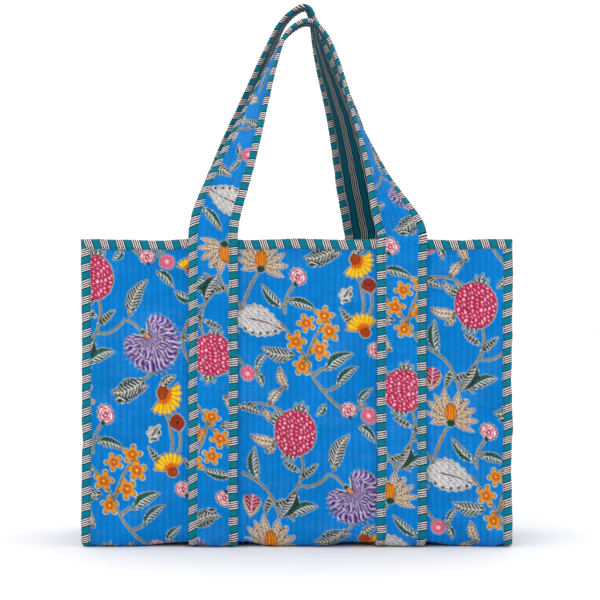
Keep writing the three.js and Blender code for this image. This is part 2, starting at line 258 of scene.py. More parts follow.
def draw_leaf(art, x, y, tip_x, tip_y, width, style="green", bend=0.1):
    """A leaf from its base to its tip. Half of a green one is dark, and half is pale with dark veins."""
    length, turn = way_to(x, y, tip_x, tip_y)
    p, q = art.facing(x, y, length + 6, turn)
    edge, rib = blade(p, q, length, width, bend)
    jagged = edge + 0.55 * np.sin(2 * np.pi * (p - np.abs(rib)) / 3.4)
    art.resist(jagged)
    vein = np.abs((p - 0.9 * np.abs(rib)) % 3.8 - 1.9)
    if style == "striped":
        art.fill(BLACK, jagged)
        art.fill(SPECKLE_WHITE, edge + 0.9, 1.4 - vein)
        art.fill(GREEN, edge + 0.9, vein - 0.6)
        art.fill(CREAM, edge + 0.9, np.abs(rib) - 0.4)
    elif style == "pale":
        art.fill(BROWN, jagged)
        art.fill(BARE, edge + 0.9)
        art.fill(BROWN * 0.6 + 0.4 * CREAM, edge + 0.9, vein - 0.75)
        art.fill(GREEN, np.abs(rib) - 0.45, edge)
    else:
        dark = GREEN if style == "green" else BLACK * 0.6 + 0.4 * GREEN
        art.fill(BLACK * 0.7 + 0.3 * BROWN, jagged)
        art.fill(SPECKLE_WHITE, edge + 0.9, rib)
        art.fill(dark, edge + 0.8, rib, vein - 1.3)
        art.fill(dark, edge + 0.7, -rib)
        art.fill(MINT, edge + 1.5, -rib, vein - 0.25)
        art.fill(SPECKLE_WHITE, edge + 0.9, np.abs(rib) - 0.3)


def draw_stem(art, points, width=2.2):
    """A stem along a smooth line through some places: an olive core between pale and dark edges."""
    nodes = np.array([on_cloth(x, y) for x, y in points])
    at = np.linspace(0, len(nodes) - 1, 10 * len(nodes))
    order = np.arange(len(nodes))
    degree = min(2, len(nodes) - 1)
    line = np.stack([np.polyval(np.polyfit(order, nodes[:, k], degree), at) for k in (0, 1)], axis=1)
    middle = (line.max(0) + line.min(0)) / 2
    reach = max(line.max(0) - line.min(0)) / 2 + 5
    right, above = art.near(middle[0], middle[1], reach)
    best, side = np.full(right.shape, 1e9), np.zeros(right.shape)
    for (ax, ay), (bx, by) in zip(line - middle, line[1:] - middle):
        ex, ey = bx - ax, by - ay
        long = max(ex * ex + ey * ey, 1e-9)
        t = np.clip(((right - ax) * ex + (above - ay) * ey) / long, 0, 1)
        away = np.hypot(right - ax - t * ex, above - ay - t * ey)
        left = np.where((right - ax) * ey - (above - ay) * ex > 0, -away, away)
        side = np.where(away < best, left, side)
        best = np.minimum(best, away)
    art.resist(best - width / 2, 0.45)
    art.fill(BROWN * 0.7 + 0.3 * BLACK, best - width / 2)
    art.fill(CREAM, best - width / 2 + 0.45)
    art.fill(OLIVE * 0.6, np.abs(side - 0.12 * width) - 0.42, best - width / 2)
    art.fill(BLACK, np.abs(side + 0.44 * width) - 0.28, best - width / 2)


def rays(angle, count, sharp):
    """From 0 between the petals to 1 along each of them."""
    return np.abs(np.cos(angle * count / 2)) ** sharp


def draw_star(art, x, y, radius, turn):
    """A small golden blossom of five pointed petals, each with a brown edge and vein."""
    right, above = art.near(*on_cloth(x, y), radius + 4)
    far, angle = np.hypot(right, above), np.arctan2(above, right) - math.radians(turn)
    edge = (far - radius * (0.34 + 0.72 * rays(angle, 5, 0.8))) * 0.7
    art.resist(edge, 0.8)
    art.fill(RUST * 0.55, edge)
    art.fill(GOLD, edge + 0.65)
    art.fill(ORANGE, edge + 0.7, far - 0.52 * radius)
    vein = np.maximum(np.abs(np.sin(angle * 2.5)) * far - 0.5, 0.45 - rays(angle, 5, 1))
    art.fill(RUST, edge + 1.0, vein)
    art.fill(RUST * 0.6, edge, rays(angle, 5, 1) * far - 0.5)
    art.fill(YELLOW, far - 0.15 * radius)


def draw_daisy(art, x, y, radius, turn, spread=150):
    """A yellow flower from the side: narrow petals that fan from a rough brown cup."""
    right, above = art.near(*on_cloth(x, y), radius + 5)
    p, q = turned(right, above, turn)
    far, angle = np.hypot(p, q), np.arctan2(q, p)
    outside = (np.abs(angle) - math.radians(spread / 2)) * np.maximum(far, 1)
    edge = np.maximum(far - radius * (0.8 + 0.2 * rays(angle, 21, 0.7)), outside)
    art.resist(edge)
    art.fill(RUST * 0.5, edge)
    art.fill(YELLOW, edge + 0.7)
    art.fill(GOLD * 0.5 + 0.1 * RUST, edge + 0.5, (rays(angle, 21, 1) - 0.25) * far * 0.3)
    art.fill(ORANGE, edge + 0.7, far - 0.62 * radius + 0.2 * radius * rays(angle, 21, 1))
    cup = np.hypot((p + 0.05 * radius) / 0.9, q) - 0.31 * radius
    art.resist(cup)
    art.fill(RUST * 0.7, cup)
    grain = np.sin(3.1 * right) * np.sin(3.1 * above)
    art.fill(ORANGE * 0.8 + 0.2 * RUST, cup + 0.7, 0.1 - grain)


def draw_ball(art, x, y, radius, color=PINK, deep=CRIMSON, eye=True):
    """A round flower head of fine rays, with or without a white eye."""
    right, above = art.near(*on_cloth(x, y), radius + 4)
    far, angle = np.hypot(right, above), np.arctan2(above, right)
    edge = far - radius * (0.88 + 0.12 * rays(angle, 16, 1))
    art.resist(edge)
    art.fill(deep * 0.8, edge)
    art.fill(color, edge + 0.6)
    art.fill(BLUSH if eye else deep, edge + 1, (rays(angle, 18, 1) - 0.45) * far * 0.5)
    art.fill(deep, edge + 1, np.abs(far - 0.55 * radius) - 0.4)
    art.fill(BLUSH if eye else deep * 0.7, far - 0.2 * radius)


def draw_raspberry(art, x, y, wide, high, turn):
    """A round fruit covered in small lobes with pale flecks, and tufts of dark leaves round it."""
    for tuft in (14, 84, -170):
        for fan in (-24, 0, 24):
            base = np.array([x, y]) + 0.82 * high * np.array(unit(turn + tuft + 0.3 * fan))
            tip = base + (0.5 - abs(fan) / 240) * high * np.array(unit(turn + tuft + fan))
            draw_leaf(art, base[0], base[1], tip[0], tip[1], 5.0, "green", 0.06)
    p, q = art.facing(x, y, high + 5, turn)
    angle = np.arctan2(q / wide, p / high)
    far = np.hypot(p / high, q / wide) * (1 + 0.04 * np.cos(angle))
    edge = (far - 0.96 - 0.03 * np.abs(np.cos(12 * angle))) * min(wide, high)
    art.resist(edge)
    art.fill(CRIMSON * 0.8, edge)
    step = 4.8
    p, q = p + 1.1 * np.sin(q / 3.1) + 0.6 * np.sin(p / 2.1 + q / 3.3), q + 1.2 * np.sin(p / 3.4)
    row = np.round(p / (0.86 * step))
    shifted = q + (row % 2) * step / 2
    above_lobe, beside_lobe = p - row * 0.86 * step, shifted - np.round(shifted / step) * step
    lobe = np.hypot(above_lobe, beside_lobe)
    art.fill(PINK * 0.85 + 0.15 * CRIMSON, edge + 0.8, lobe - 2.2)
    art.fill(CRIMSON, edge + 0.8, lobe - 1.35)
    comma = np.hypot(above_lobe - 1.0 - 0.3 * beside_lobe, 0.5 * beside_lobe) - 0.55
    art.fill(BLUSH, edge + 1.2, comma)
    often = np.sin(1.7 * row + 2.9 * np.round(shifted / step)) - 0.2
    art.fill(BLUSH, edge + 1.2, np.hypot(above_lobe, beside_lobe) - 1.0, -often)


def draw_carnation(art, x, y, radius, turn):
    """A wide fan of ragged purple and white petals round the end of a striped cup."""
    p, q = art.facing(x, y, 1.2 * radius + 4, turn)
    far, angle = np.hypot(p, q), np.arctan2(q, p)
    wide = np.abs(angle) / math.radians(140)
    rim = radius * (1 - 0.2 * np.clip(wide, 0, 1) ** 2 - 0.3 * np.clip(wide, 0, 1) ** 9)
    rim = rim * (0.87 + 0.09 * np.abs(np.sin(19 * angle)) + 0.05 * np.sin(43 * angle))
    edge = np.maximum(far - rim, (wide - 1) * far * 1.2)
    art.resist(edge)
    art.fill(PURPLE * 0.7, edge)
    wander = 0.8 * np.sin(far / 3.3) + 0.5 * np.sin(far / 1.9 + 5 * angle)
    streak = np.sin(34 * angle + wander * 2)
    art.fill(LILAC * 0.8 + 0.2 * PURPLE, edge + 0.7, -0.45 - streak)
    art.fill(SPECKLE_WHITE * 0.6 + 0.4 * LILAC, edge + 0.7, 0.6 - np.sin(34 * angle + wander * 2 + 0.9))
    art.fill(PURPLE, edge + 0.7, 0.75 - np.sin(21 * angle + wander * 3))
    for share, ripple in ((0.34, 1.0), (0.62, 3.0)):
        jag = far - rim * (share + 0.06 * np.sin(9 * angle + ripple) + 0.03 * np.sin(31 * angle))
        art.fill(PURPLE * 0.7, edge + 0.7, np.abs(jag) - 0.45)
        art.fill(SPECKLE_WHITE, edge + 0.7, np.abs(jag - 1.2) - 0.35)
    cup = np.maximum(np.abs(q) - 2.2 - 0.14 * (p + 9), np.abs(p + 4.5) - 5.5)
    art.resist(cup)
    art.fill(BROWN, cup)
    art.fill(CREAM * 0.7 + 0.3 * ORANGE, cup + 0.6, np.abs(q % 2.2 - 1.1) - 0.6)
    art.fill(GREEN, cup, p + 6.5)


def draw_lotus(art, x, y, radius, turn):
    """White petals with rust-red teeth round an orange heart, on a green cup."""
    for fan, reach, width in (
        (-118, 0.95, 8), (112, 0.8, 8), (-92, 1.02, 9), (86, 0.95, 9), (-66, 1.0, 9), (60, 1.02, 9),
        (-42, 0.92, 9), (38, 1.0, 9), (-17, 1.0, 9), (14, 1.1, 9),
    ):
        p, q = art.facing(x, y, 1.25 * radius, turn + fan)
        edge, rib = blade(p - 1, q, radius * reach, width, 0.05 * np.sign(fan), 0.72)
        edge = edge + 0.5 * np.sin(2 * np.pi * p / 3.1)
        art.resist(edge, 0.8)
        art.fill(RUST * 0.7, edge)
        art.fill(BARE, edge + 0.75)
        tooth = np.abs((p + 0.9 * np.abs(rib)) % 3.1 - 1.55)
        art.fill(RUST * 0.6, edge + 0.5, tooth - 0.55, 1.3 - np.abs(rib))
        art.fill(GOLD * 0.25 + 0.75 * BARE, edge + 1.2, np.abs(rib) - 1.1, p - 0.62 * radius)
        art.fill(BROWN, edge + 1.4, np.abs(rib) - 0.4)
    p, q = art.facing(x, y, radius, turn)
    heart = np.hypot((p - 0.16 * radius) / 1.55, q) - 0.23 * radius
    art.fill(RUST * 0.7, heart)
    art.fill(ORANGE, heart + 0.7)
    art.fill(GOLD, heart + 1.0, np.abs((q + 0.5 * np.sin(p / 2)) % 2.8 - 1.4) - 0.5)
    art.fill(RUST * 0.6, heart + 1.0, np.abs((q + 0.5 * np.sin(p / 2)) % 2.8 - 0.1) - 0.3)
    cup = np.hypot((p + 0.26 * radius) / 0.8, q) - 0.17 * radius
    art.resist(cup)
    art.fill(BLACK, cup)
    art.fill(GREEN, cup + 0.6)


def draw_speckled(art, x, y, length, width, turn):
    """A broad white leaf covered in small dark commas, with green dots along its lower edge."""
    start = np.array([x, y]) - length / 2 * np.array(unit(turn))
    p, q = art.facing(*start, 1.15 * length + 4, turn)
    edge, rib = blade(p, q, length, width, 0.06, 0.85)
    edge = edge + 0.9 * np.sin(2 * np.pi * p / 7)
    art.resist(edge, 1.2)
    art.fill(BLACK * 0.5 + 0.5 * BROWN, edge)
    art.fill(SPECKLE_WHITE, edge + 0.6)
    step = 2.1
    row = np.round(q / step)
    slid = p + (row % 2) * step / 2
    column = np.round(slid / step)
    lean = np.sin(2.3 * row + 1.7 * column)
    comma = np.hypot((slid - column * step) * 0.75 + 0.4 * lean * (q - row * step), (q - row * step) * 0.8)
    art.fill(BLACK, edge + 0.9, comma - 0.52 - 0.1 * lean)
    art.fill(BROWN, edge + 1.2, np.abs(rib) - 0.5, 0.3 * length - p)
    dots = np.hypot(p % 8 - 4, edge + 1.8) - 1.6
    art.fill(GREEN, dots, rib, edge)


def draw_comb(art, x, y, tip_x, tip_y, width=6):
    """A slim dark spike with small pale bars."""
    length, turn = way_to(x, y, tip_x, tip_y)
    p, q = art.facing(x, y, length + 5, turn)
    edge, rib = blade(p, q, length, width, 0, 0.8)
    edge = edge + 0.8 * np.sin(2 * np.pi * (p - 0.7 * np.abs(rib)) / 3.6)
    art.resist(edge, 0.8)
    art.fill(BLACK, edge)
    art.fill(CREAM, edge + 0.6, np.abs((p - 0.7 * np.abs(rib)) % 3.6 - 1.8) - 0.6)
    art.fill(GREEN, edge + 0.6, np.abs(rib) - 0.5)


def draw_bud(art, x, y, radius, turn):
    """A small ruffled rose, white outside with crimson folds round its heart."""
    p, q = art.facing(x, y, 1.3 * radius + 4, turn)
    far, angle = np.hypot(p, q), np.arctan2(q, p)
    edge = far - radius * (0.86 + 0.2 * np.abs(np.sin(6.5 * angle)) + 0.1 * np.cos(angle))
    art.resist(edge)
    art.fill(CRIMSON * 0.6 + 0.4 * BROWN, edge)
    art.fill(SPECKLE_WHITE, edge + 0.8)
    art.fill(CRIMSON, edge + 0.6, 0.35 - np.sin(2.3 * far - 2.0 * angle))
    art.fill(PINK, edge + 1.2, 0.55 - np.sin(2.3 * far + 3.0 * angle))
    art.fill(CRIMSON, far - 0.3 * radius)
    art.fill(BLUSH, far - 0.13 * radius)
    art.fill(GREEN, np.hypot(p + 0.9 * radius, q) - 0.26 * radius)


def draw_heart(art, x, y, length, turn):
    """A magenta heart-shaped leaf with pale chevrons and a pale fringe."""
    start = np.array([x, y]) - length / 2 * np.array(unit(turn))
    p, q = art.facing(*start, 1.3 * length + 4, turn)
    fringe, _ = blade(p, q, 1.2 * length, 0.9 * length, 0, 0.62)
    art.resist(fringe)
    art.fill(BROWN, fringe)
    art.fill(CREAM, fringe + 0.7, np.abs(p % 2.6 - 1.3) - 0.8)
    edge, rib = blade(p, q, length, 0.72 * length, 0, 0.55)
    art.fill(BLACK * 0.4 + 0.6 * CRIMSON, edge)
    art.fill(CRIMSON * 0.8 + 0.2 * PURPLE, edge + 0.8)
    art.fill(BLUSH, edge + 1.2, np.abs((p + 0.8 * np.abs(rib)) % 4.2 - 2.1) - 0.45)
    art.fill(BLUSH, edge + 1.0, np.abs(rib) - 0.4)


# Where the motifs stand on the front panel: from its middle and from the floor, in millimetres.
STEMS = [
    [(-40, 290), (-50, 272), (-57, 250)], [(-72, 262), (-62, 258), (-58, 246)],
    [(-2, 277), (-11, 262), (-12, 247)], [(-12, 260), (0, 262), (10, 258)],
    [(-62, 226), (-67, 210), (-56, 192)], [(-17, 236), (-4, 220), (10, 198)],
    [(30, 238), (18, 218), (10, 198)],
    [(10, 200), (16, 184), (28, 164), (48, 146)], [(6, 192), (8, 196), (10, 200)],
    [(24, 209), (16, 206), (10, 200)],
    [(18, 182), (26, 188), (33, 190)], [(28, 166), (36, 168), (43, 172)],
    [(77, 268), (78, 250), (69, 238)], [(64, 284), (70, 262), (69, 240)],
    [(6, 98), (5, 80), (3, 67), (-7, 55)], [(2, 66), (18, 66), (33, 78)], [(33, 78), (42, 74), (50, 64)],
    [(-57, 78), (-38, 72), (-28, 52), (-18, 34)], [(-48, 186), (-44, 186), (-40, 188)],
    [(-7, 55), (-10, 40), (-4, 30)], [(66, 36), (60, 27), (52, 21)], [(60, 142), (66, 146), (72, 150)],
    [(96, 262), (104, 236), (100, 208)], [(100, 128), (104, 100), (96, 72)], [(96, 72), (92, 52), (100, 34)],
    [(-13, 170), (-20, 164), (-28, 152)], [(-62, 150), (-44, 150), (-28, 152), (-14, 142)],
]
LEAVES = [
    (-14, 253, -36, 275, 10, "green"), (-8, 259, 20, 251, 10, "green"), (12, 297, 46, 312, 17, "striped"),
    (31, 188, 59, 207, 12, "green"), (42, 171, 65, 193, 10, "green"), (-3, 203, -37, 208, 14, "striped"),
    (-43, 188, -31, 205, 7, "green"), (-42, 185, -37, 171, 7, "green"), (-10, 168, -17, 190, 9, "pale"),
    (-28, 152, -14, 168, 9, "pale"), (-64, 149, -37, 142, 9, "striped"), (-20, 132, -36, 146, 8, "pale"),
    (-22, 113, -50, 116, 11, "pale"), (-24, 110, -34, 101, 6, "pale"), (38, 82, 57, 121, 14, "striped"),
    (-42, 73, -43, 106, 11, "green"), (-1, 59, -20, 30, 13, "dark"), (-5, 35, 22, 47, 12, "green"),
    (52, 21, 17, 7, 13, "striped"), (66, 150, 80, 168, 8, "green"), (66, 128, 82, 112, 9, "green"),
    (58, 306, 74, 318, 8, "striped"), (104, 236, 122, 250, 10, "green"), (103, 226, 84, 238, 9, "green"),
    (104, 108, 124, 122, 10, "dark"), (103, 98, 84, 106, 9, "green"), (93, 60, 114, 48, 10, "striped"),
    (30, 152, 20, 140, 7, "green"), (100, 170, 118, 160, 10, "pale"), (104, 300, 92, 318, 10, "green"),
]
COMBS = [
    (2, 82, -14, 92), (4, 74, 22, 90), (-28, 54, -34, 36), (-24, 44, -8, 52), (100, 34, 108, 10),
    (60, 232, 46, 250), (-10, 22, -24, 14), (98, 206, 114, 192),
]
RASPBERRY = on_cloth(-1, 123)
STARS = [
    (29, 243, 10, 10), (10, 236, 9, 40), (34, 227, 10, 25), (-1, 217, 10, 5), (24, 208, 10, 45),
    (6, 191, 9, 20),
]


def draw_repeat():
    """The whole repeat, stems first, so that leaves and flowers lie over them."""
    art = Drawing()
    for points in STEMS:
        draw_stem(art, points)
    for x, y, tip_x, tip_y, width, style in LEAVES:
        draw_leaf(art, x, y, tip_x, tip_y, width, style)
    for x, y, tip_x, tip_y in COMBS:
        draw_comb(art, x, y, tip_x, tip_y)
    draw_speckled(art, -40, 237, 52, 31, -8)
    draw_speckled(art, 53, 265, 18, 12, 60)
    draw_heart(art, -48, 47, 21, -98)
    draw_carnation(art, 57, 59, 35, -47)
    draw_lotus(art, -38, 299, 27, 88)
    draw_raspberry(art, -1, 123, 22, 25, 62)
    draw_daisy(art, 61, 302, 20, -50, 160)
    draw_daisy(art, 71, 227, 19, 112, 140)
    draw_ball(art, 76, 275, 8, RUST, BROWN, False)
    draw_ball(art, -52, 184, 8)
    draw_ball(art, 76, 138, 8.5)
    draw_bud(art, 1, 284, 8.5, 70)
    draw_bud(art, 83, 207, 8, 120)
    draw_bud(art, 55, 144, 8, 100)
    draw_bud(art, 96, 266, 8, 95)
    draw_daisy(art, 100, 128, 14, 80, 170)
    for x, y, radius, turn in STARS:
        draw_star(art, x, y, radius, turn)
    picture = art.finished()
    blotch = 1 + 0.035 * smooth_noise(ROWS, COLUMNS, 30, 11) + 0.03 * smooth_noise(ROWS, COLUMNS, 4, 12)
    return np.clip(picture * blotch[..., None], 0, 1)


# ---- Cloth materials, all from nodes ---------------------------------------------------------------------
STRIPE_PERIOD = 16.6
TEAL = rgb(0, 113, 134)
WHITE = rgb(214, 205, 205)
MAROON = rgb(30, 6, 12)
INK = rgb(8, 14, 24)
STRIPES = [
    (0.00, TEAL), (0.37, INK), (0.43, WHITE), (0.50, MAROON), (0.57, WHITE), (0.635, MAROON),
    (0.70, WHITE), (0.765, MAROON), (0.825, WHITE), (0.89, INK), (0.96, TEAL),
]


def to_linear(color):
    return np.where(color <= 0.04045, color / 12.92, ((color + 0.055) / 1.055) ** 2.4)


class Cloth:
    """A material under construction, with short calls for the nodes that the cloths share."""

    def __init__(self, name, roughness, sheen):
        self.material = bpy.data.materials.new(name)
        self.material.use_nodes = True
        self.nodes, self.links = self.material.node_tree.nodes, self.material.node_tree.links
        self.shader = next(n for n in self.nodes if n.type == "BSDF_PRINCIPLED")
        self.shader.inputs["Roughness"].default_value = roughness
        self.shader.inputs["Sheen Weight"].default_value = sheen
        self.shader.inputs["Sheen Roughness"].default_value = 0.5
        self.shader.inputs["Specular IOR Level"].default_value = 0.08
        run = self.add("UVMap", uv_map="run")
        scale = self.add("VectorMath", operation="SCALE")
        self.link(run.outputs["UV"], scale.inputs[0])
        scale.inputs["Scale"].default_value = 1 / MM
        self.run = scale.outputs[0]  # lengths along and across the cloth in millimetres

    def add(self, kind, **settings):
        node = self.nodes.new("ShaderNode" + kind)
        for key, value in settings.items():
            setattr(node, key, value)
        return node

    def link(self, source, target):
        self.links.new(source, target)

    def math(self, operation, a, b=None):
        node = self.add("Math", operation=operation)
        for socket, value in zip(node.inputs, (a, b)):
            if isinstance(value, (int, float)):
                socket.default_value = value
            elif value is not None:
                self.link(value, socket)
        return node.outputs[0]

    def noise(self, size, detail=2.0):
        """Noise with lumps of about that size in millimetres."""
        node = self.add("TexNoise")
        self.link(self.run, node.inputs["Vector"])
        node.inputs["Scale"].default_value = 1 / size
        node.inputs["Detail"].default_value = detail
        return node.outputs["Fac"]

    def threads(self, pitch):
        """The over and under of a plain weave."""
        heights = []
        for axis in ("X", "Y"):
            wave = self.add("TexWave", bands_direction=axis)
            self.link(self.run, wave.inputs["Vector"])
            wave.inputs["Scale"].default_value = 2 * math.pi / (20 * pitch)
            wave.inputs["Distortion"].default_value = 0.5
            wave.inputs["Detail"].default_value = 1
            heights.append(wave.outputs["Fac"])
        return self.math("MULTIPLY", heights[0], heights[1])

    def mix(self, share, a, b, blend="MIX"):
        node = self.add("Mix", data_type="RGBA", blend_type=blend)
        for socket, value in ((node.inputs[0], share), (node.inputs[6], a), (node.inputs[7], b)):
            if hasattr(value, "is_linked"):
                self.link(value, socket)
            elif isinstance(value, (int, float)):
                socket.default_value = value
            else:
                socket.default_value = (*value, 1)
        return node.outputs[2]

    def finish(self, color, pitch=0.6, fuzz=0.12, roughness=0.82):
        """Gives the cloth its uneven threads, its weave in relief, and a roughness that varies."""
        slub = self.noise(2.2)
        tone = self.add("MapRange")
        self.link(slub, tone.inputs["Value"])
        limits = {"From Min": 0.25, "From Max": 0.75, "To Min": 1 - fuzz, "To Max": 1 + fuzz / 2}
        for key, value in limits.items():
            tone.inputs[key].default_value = value
        weave = self.threads(pitch)
        shade = self.math("MULTIPLY_ADD", weave, 0.14)
        self.link(tone.outputs[0], shade.node.inputs[2])
        scaled = self.add("VectorMath", operation="SCALE")
        self.link(color, scaled.inputs[0])
        self.link(shade, scaled.inputs["Scale"])
        self.link(scaled.outputs[0], self.shader.inputs["Base Color"])
        rough = self.math("MULTIPLY_ADD", weave, -0.12)
        rough.node.inputs[2].default_value = roughness + 0.06
        self.link(rough, self.shader.inputs["Roughness"])
        height = self.math("MULTIPLY_ADD", self.noise(0.9), 0.8)
        self.link(weave, height.node.inputs[2])
        bump = self.add("Bump")
        bump.inputs["Strength"].default_value = 0.35
        bump.inputs["Distance"].default_value = 0.00012
        self.link(height, bump.inputs["Height"])
        self.link(bump.outputs["Normal"], self.shader.inputs["Normal"])
        return self.material


def printed_material():
    cloth = Cloth("block_printed_cotton", 0.85, 0.02)
    print_color = cloth.add("Attribute", attribute_name="print")
    return cloth.finish(print_color.outputs["Color"], fuzz=0.08)


def striped_material(name, slant, painted_shade_tint, wobble):
    """The striped cotton: its stripes lie across the first of the cloth's two lengths, at a slant. A tint
    below 1 darkens it as painted shade.
    """
    cloth = Cloth(name, 0.85, 0.04)
    split = cloth.add("SeparateXYZ")
    cloth.link(cloth.run, split.inputs[0])
    along, across = split.outputs[0], split.outputs[1]
    lean = cloth.math("MULTIPLY_ADD", across, slant)
    cloth.link(along, lean.node.inputs[2])
    sway = cloth.math("MULTIPLY_ADD", cloth.noise(22.0, 1.0), wobble)
    cloth.link(lean, sway.node.inputs[2])
    share = cloth.math("FRACT", cloth.math("DIVIDE", sway, STRIPE_PERIOD))
    ramp = cloth.add("ValToRGB")
    ramp.color_ramp.interpolation = "CONSTANT"
    elements = ramp.color_ramp.elements
    elements.remove(elements[1])
    for position, color in STRIPES:
        stop = elements[0] if position == 0 else elements.new(position)
        stop.position = position
        stop.color = (*to_linear(color), 1)
    cloth.link(share, ramp.inputs["Fac"])
    color = cloth.mix(1.0, ramp.outputs["Color"], painted_shade_tint, "MULTIPLY")
    return cloth.finish(color, fuzz=0.1)


def plain_material(name, color, other, size, sheen):
    cloth = Cloth(name, 0.9, sheen)
    mixed = cloth.mix(cloth.noise(size), to_linear(color), to_linear(other))
    return cloth.finish(mixed, pitch=0.8)


PRINTED = printed_material()
BINDING = striped_material("striped_binding_cotton", 0.12, (1.0, 1.0, 1.0), 1.2)
# The lining is the same striped cotton, darkened as painted shade for the bag's inside and the straps' backs.
SHADED_LINING = striped_material("striped_lining_cotton_in_painted_shade", 0.015, (0.42, 0.52, 0.54), 3.4)
WADDING = plain_material("cotton_wadding", rgb(240, 236, 224), rgb(226, 220, 204), 5.0, 0.3)
THREAD = plain_material("sewing_thread", rgb(14, 60, 74), rgb(24, 84, 100), 1.5, 0.1)


# ---- The form: how the quilted walls sag, bulge and buckle between their seams --------------------------
# The wall is one length: it runs from the front rim down, under the bottom, and up to the back rim.
CORNER_HEIGHT = FLOOR_LEVEL + CORNER_RADIUS
CORNER_DEPTH = HALF_DEPTH - CORNER_RADIUS
FRONT_RUN = WALL_TOP - CORNER_HEIGHT
CORNER_RUN = CORNER_RADIUS * math.pi / 2
BOTTOM_RUN = 2 * CORNER_DEPTH
WALL_RUN = 2 * FRONT_RUN + 2 * CORNER_RUN + BOTTOM_RUN

CELL = 12.0  # of the coarse shell that the simulation bends
MOST_MOVE = 7.0  # that the simulation may make at any point
LAST_FRAME = 25  # of the simulation
NO_LIMIT = 99  # further than anything moves
PANEL_DROP = WALL_TOP - FLOOR_LEVEL
SIDE_ROWS = round(PANEL_DROP / CELL)
DEPTH_ROWS = round(2 * HALF_DEPTH / CELL)
SHELL_ROWS = 2 * SIDE_ROWS + DEPTH_ROWS + 1
SHELL_COLUMNS = 36


def wall_section(run, level):
    """Y, Z and the outward direction in the wall's section, at a level inwards from its outer face."""
    run = np.asarray(run, float)
    half = WALL_RUN / 2
    side = np.where(run <= half, -1.0, 1.0)
    down = np.where(run <= half, run, WALL_RUN - run)
    turn = np.clip((down - FRONT_RUN) / CORNER_RADIUS, 0, math.pi / 2)
    straight = np.minimum(down, FRONT_RUN)
    flat = np.maximum(down - FRONT_RUN - CORNER_RUN, 0)
    out_y, out_z = np.cos(turn) * side, -np.sin(turn)
    y = side * (CORNER_DEPTH - flat) + out_y * (CORNER_RADIUS - level)
    z = np.where(turn > 0, CORNER_HEIGHT, WALL_TOP - straight) + out_z * (CORNER_RADIUS - level)
    return y, z, out_y, out_z


def shell_row(run):
    """Where a wall run falls in the coarse shell, whose corners are square: 0 at the front rim."""
    first = SIDE_ROWS * (1 - CORNER_RADIUS / PANEL_DROP)
    ends = [
        0, FRONT_RUN, FRONT_RUN + CORNER_RUN, WALL_RUN - FRONT_RUN - CORNER_RUN, WALL_RUN - FRONT_RUN,
        WALL_RUN,
    ]
    inset = DEPTH_ROWS * CORNER_RADIUS / (2 * HALF_DEPTH)
    last = SHELL_ROWS - 1
    rows = [0, first, SIDE_ROWS + inset, SIDE_ROWS + DEPTH_ROWS - inset, last - first, last]
    return np.interp(run, ends, rows)


def shell_points():
    """The wall's part of the coarse shell at rest. Its rows go from the front rim round to the back rim."""
    xs = np.linspace(-SEAM_START, SEAM_START, SHELL_COLUMNS + 1)
    front = [(-HALF_DEPTH, WALL_TOP - PANEL_DROP * k / SIDE_ROWS) for k in range(SIDE_ROWS)]
    bottom = [(-HALF_DEPTH + 2 * HALF_DEPTH * k / DEPTH_ROWS, FLOOR_LEVEL) for k in range(DEPTH_ROWS)]
    back = [(HALF_DEPTH, FLOOR_LEVEL + PANEL_DROP * k / SIDE_ROWS) for k in range(SIDE_ROWS + 1)]
    section = np.array(front + bottom + back)
    wall = np.zeros((len(section), len(xs), 3))
    wall[:, :, 0] = xs[None, :]
    wall[:, :, 1:] = section[:, None, :]
    return wall


def gusset_grid(wall_index, column):
    """Numbers of the shell's points over one end: rows go down from the rim, columns from front to back."""
    rows, columns = SIDE_ROWS + 1, DEPTH_ROWS + 1
    grid = np.full((rows, columns), -1)
    grid[:, 0] = wall_index[: SIDE_ROWS + 1, column]
    grid[SIDE_ROWS, :] = wall_index[SIDE_ROWS : SIDE_ROWS + DEPTH_ROWS + 1, column]
    grid[:, -1] = wall_index[SIDE_ROWS + DEPTH_ROWS :, column][::-1]
    return grid


def build_shell():
    """All points, the faces with their outsides out, and the index grids of the wall and both ends."""
    wall = shell_points()
    rows, columns = wall.shape[:2]
    wall_index = np.arange(rows * columns).reshape(rows, columns)
    points = [wall.reshape(-1, 3)]
    count = rows * columns
    ends = []
    for column in (0, columns - 1):
        grid = gusset_grid(wall_index, column)
        free = grid < 0
        x = wall[0, column, 0]
        ys = np.linspace(-HALF_DEPTH, HALF_DEPTH, DEPTH_ROWS + 1)
        zs = np.linspace(WALL_TOP, FLOOR_LEVEL, SIDE_ROWS + 1)
        y, z = np.meshgrid(ys, zs)
        grid[free] = count + np.arange(free.sum())
        count += free.sum()
        points.append(np.stack([np.full(free.sum(), x), y[free], z[free]], axis=1))
        ends.append(grid)
    quads = [quads_of(wall_index), quads_of(ends[0])[:, ::-1], quads_of(ends[1])]
    return np.concatenate(points), np.concatenate(quads), wall_index, ends


def quads_of(index):
    a, b, c, d = index[:-1, :-1], index[1:, :-1], index[1:, 1:], index[:-1, 1:]
    return np.stack([a, b, c, d], axis=-1).reshape(-1, 4)


def hold_of(points):
    """How firmly each point of the shell is held: the rim and the bound seams most, then under the straps."""
    x, y, z = points.T
    hold = np.full(len(points), 0.02)
    on_wall = np.abs(x) < SEAM_START - 1
    seam = (~on_wall) & ((np.abs(y) > HALF_DEPTH - 1) | (z < FLOOR_LEVEL + 1))
    hold[seam] = 0.75
    for strap in (FRONT, BACK):
        for side in (-1, 1):
            near = np.abs(x - strap_center(strap, side)) < STRAP_HALF + 3
            hold[near & on_wall & (y * -hand_of(strap) > 0)] = 0.6
            hold[near & on_wall & (z < FLOOR_LEVEL + 1)] = 0.95
    hold[z > WALL_TOP - 1] = 0.97
    return hold


def hand_of(strap):
    """1 for the front strap, and -1 for the back one, which is drawn turned half round."""
    return 1 if strap["turn"] == 0 else -1


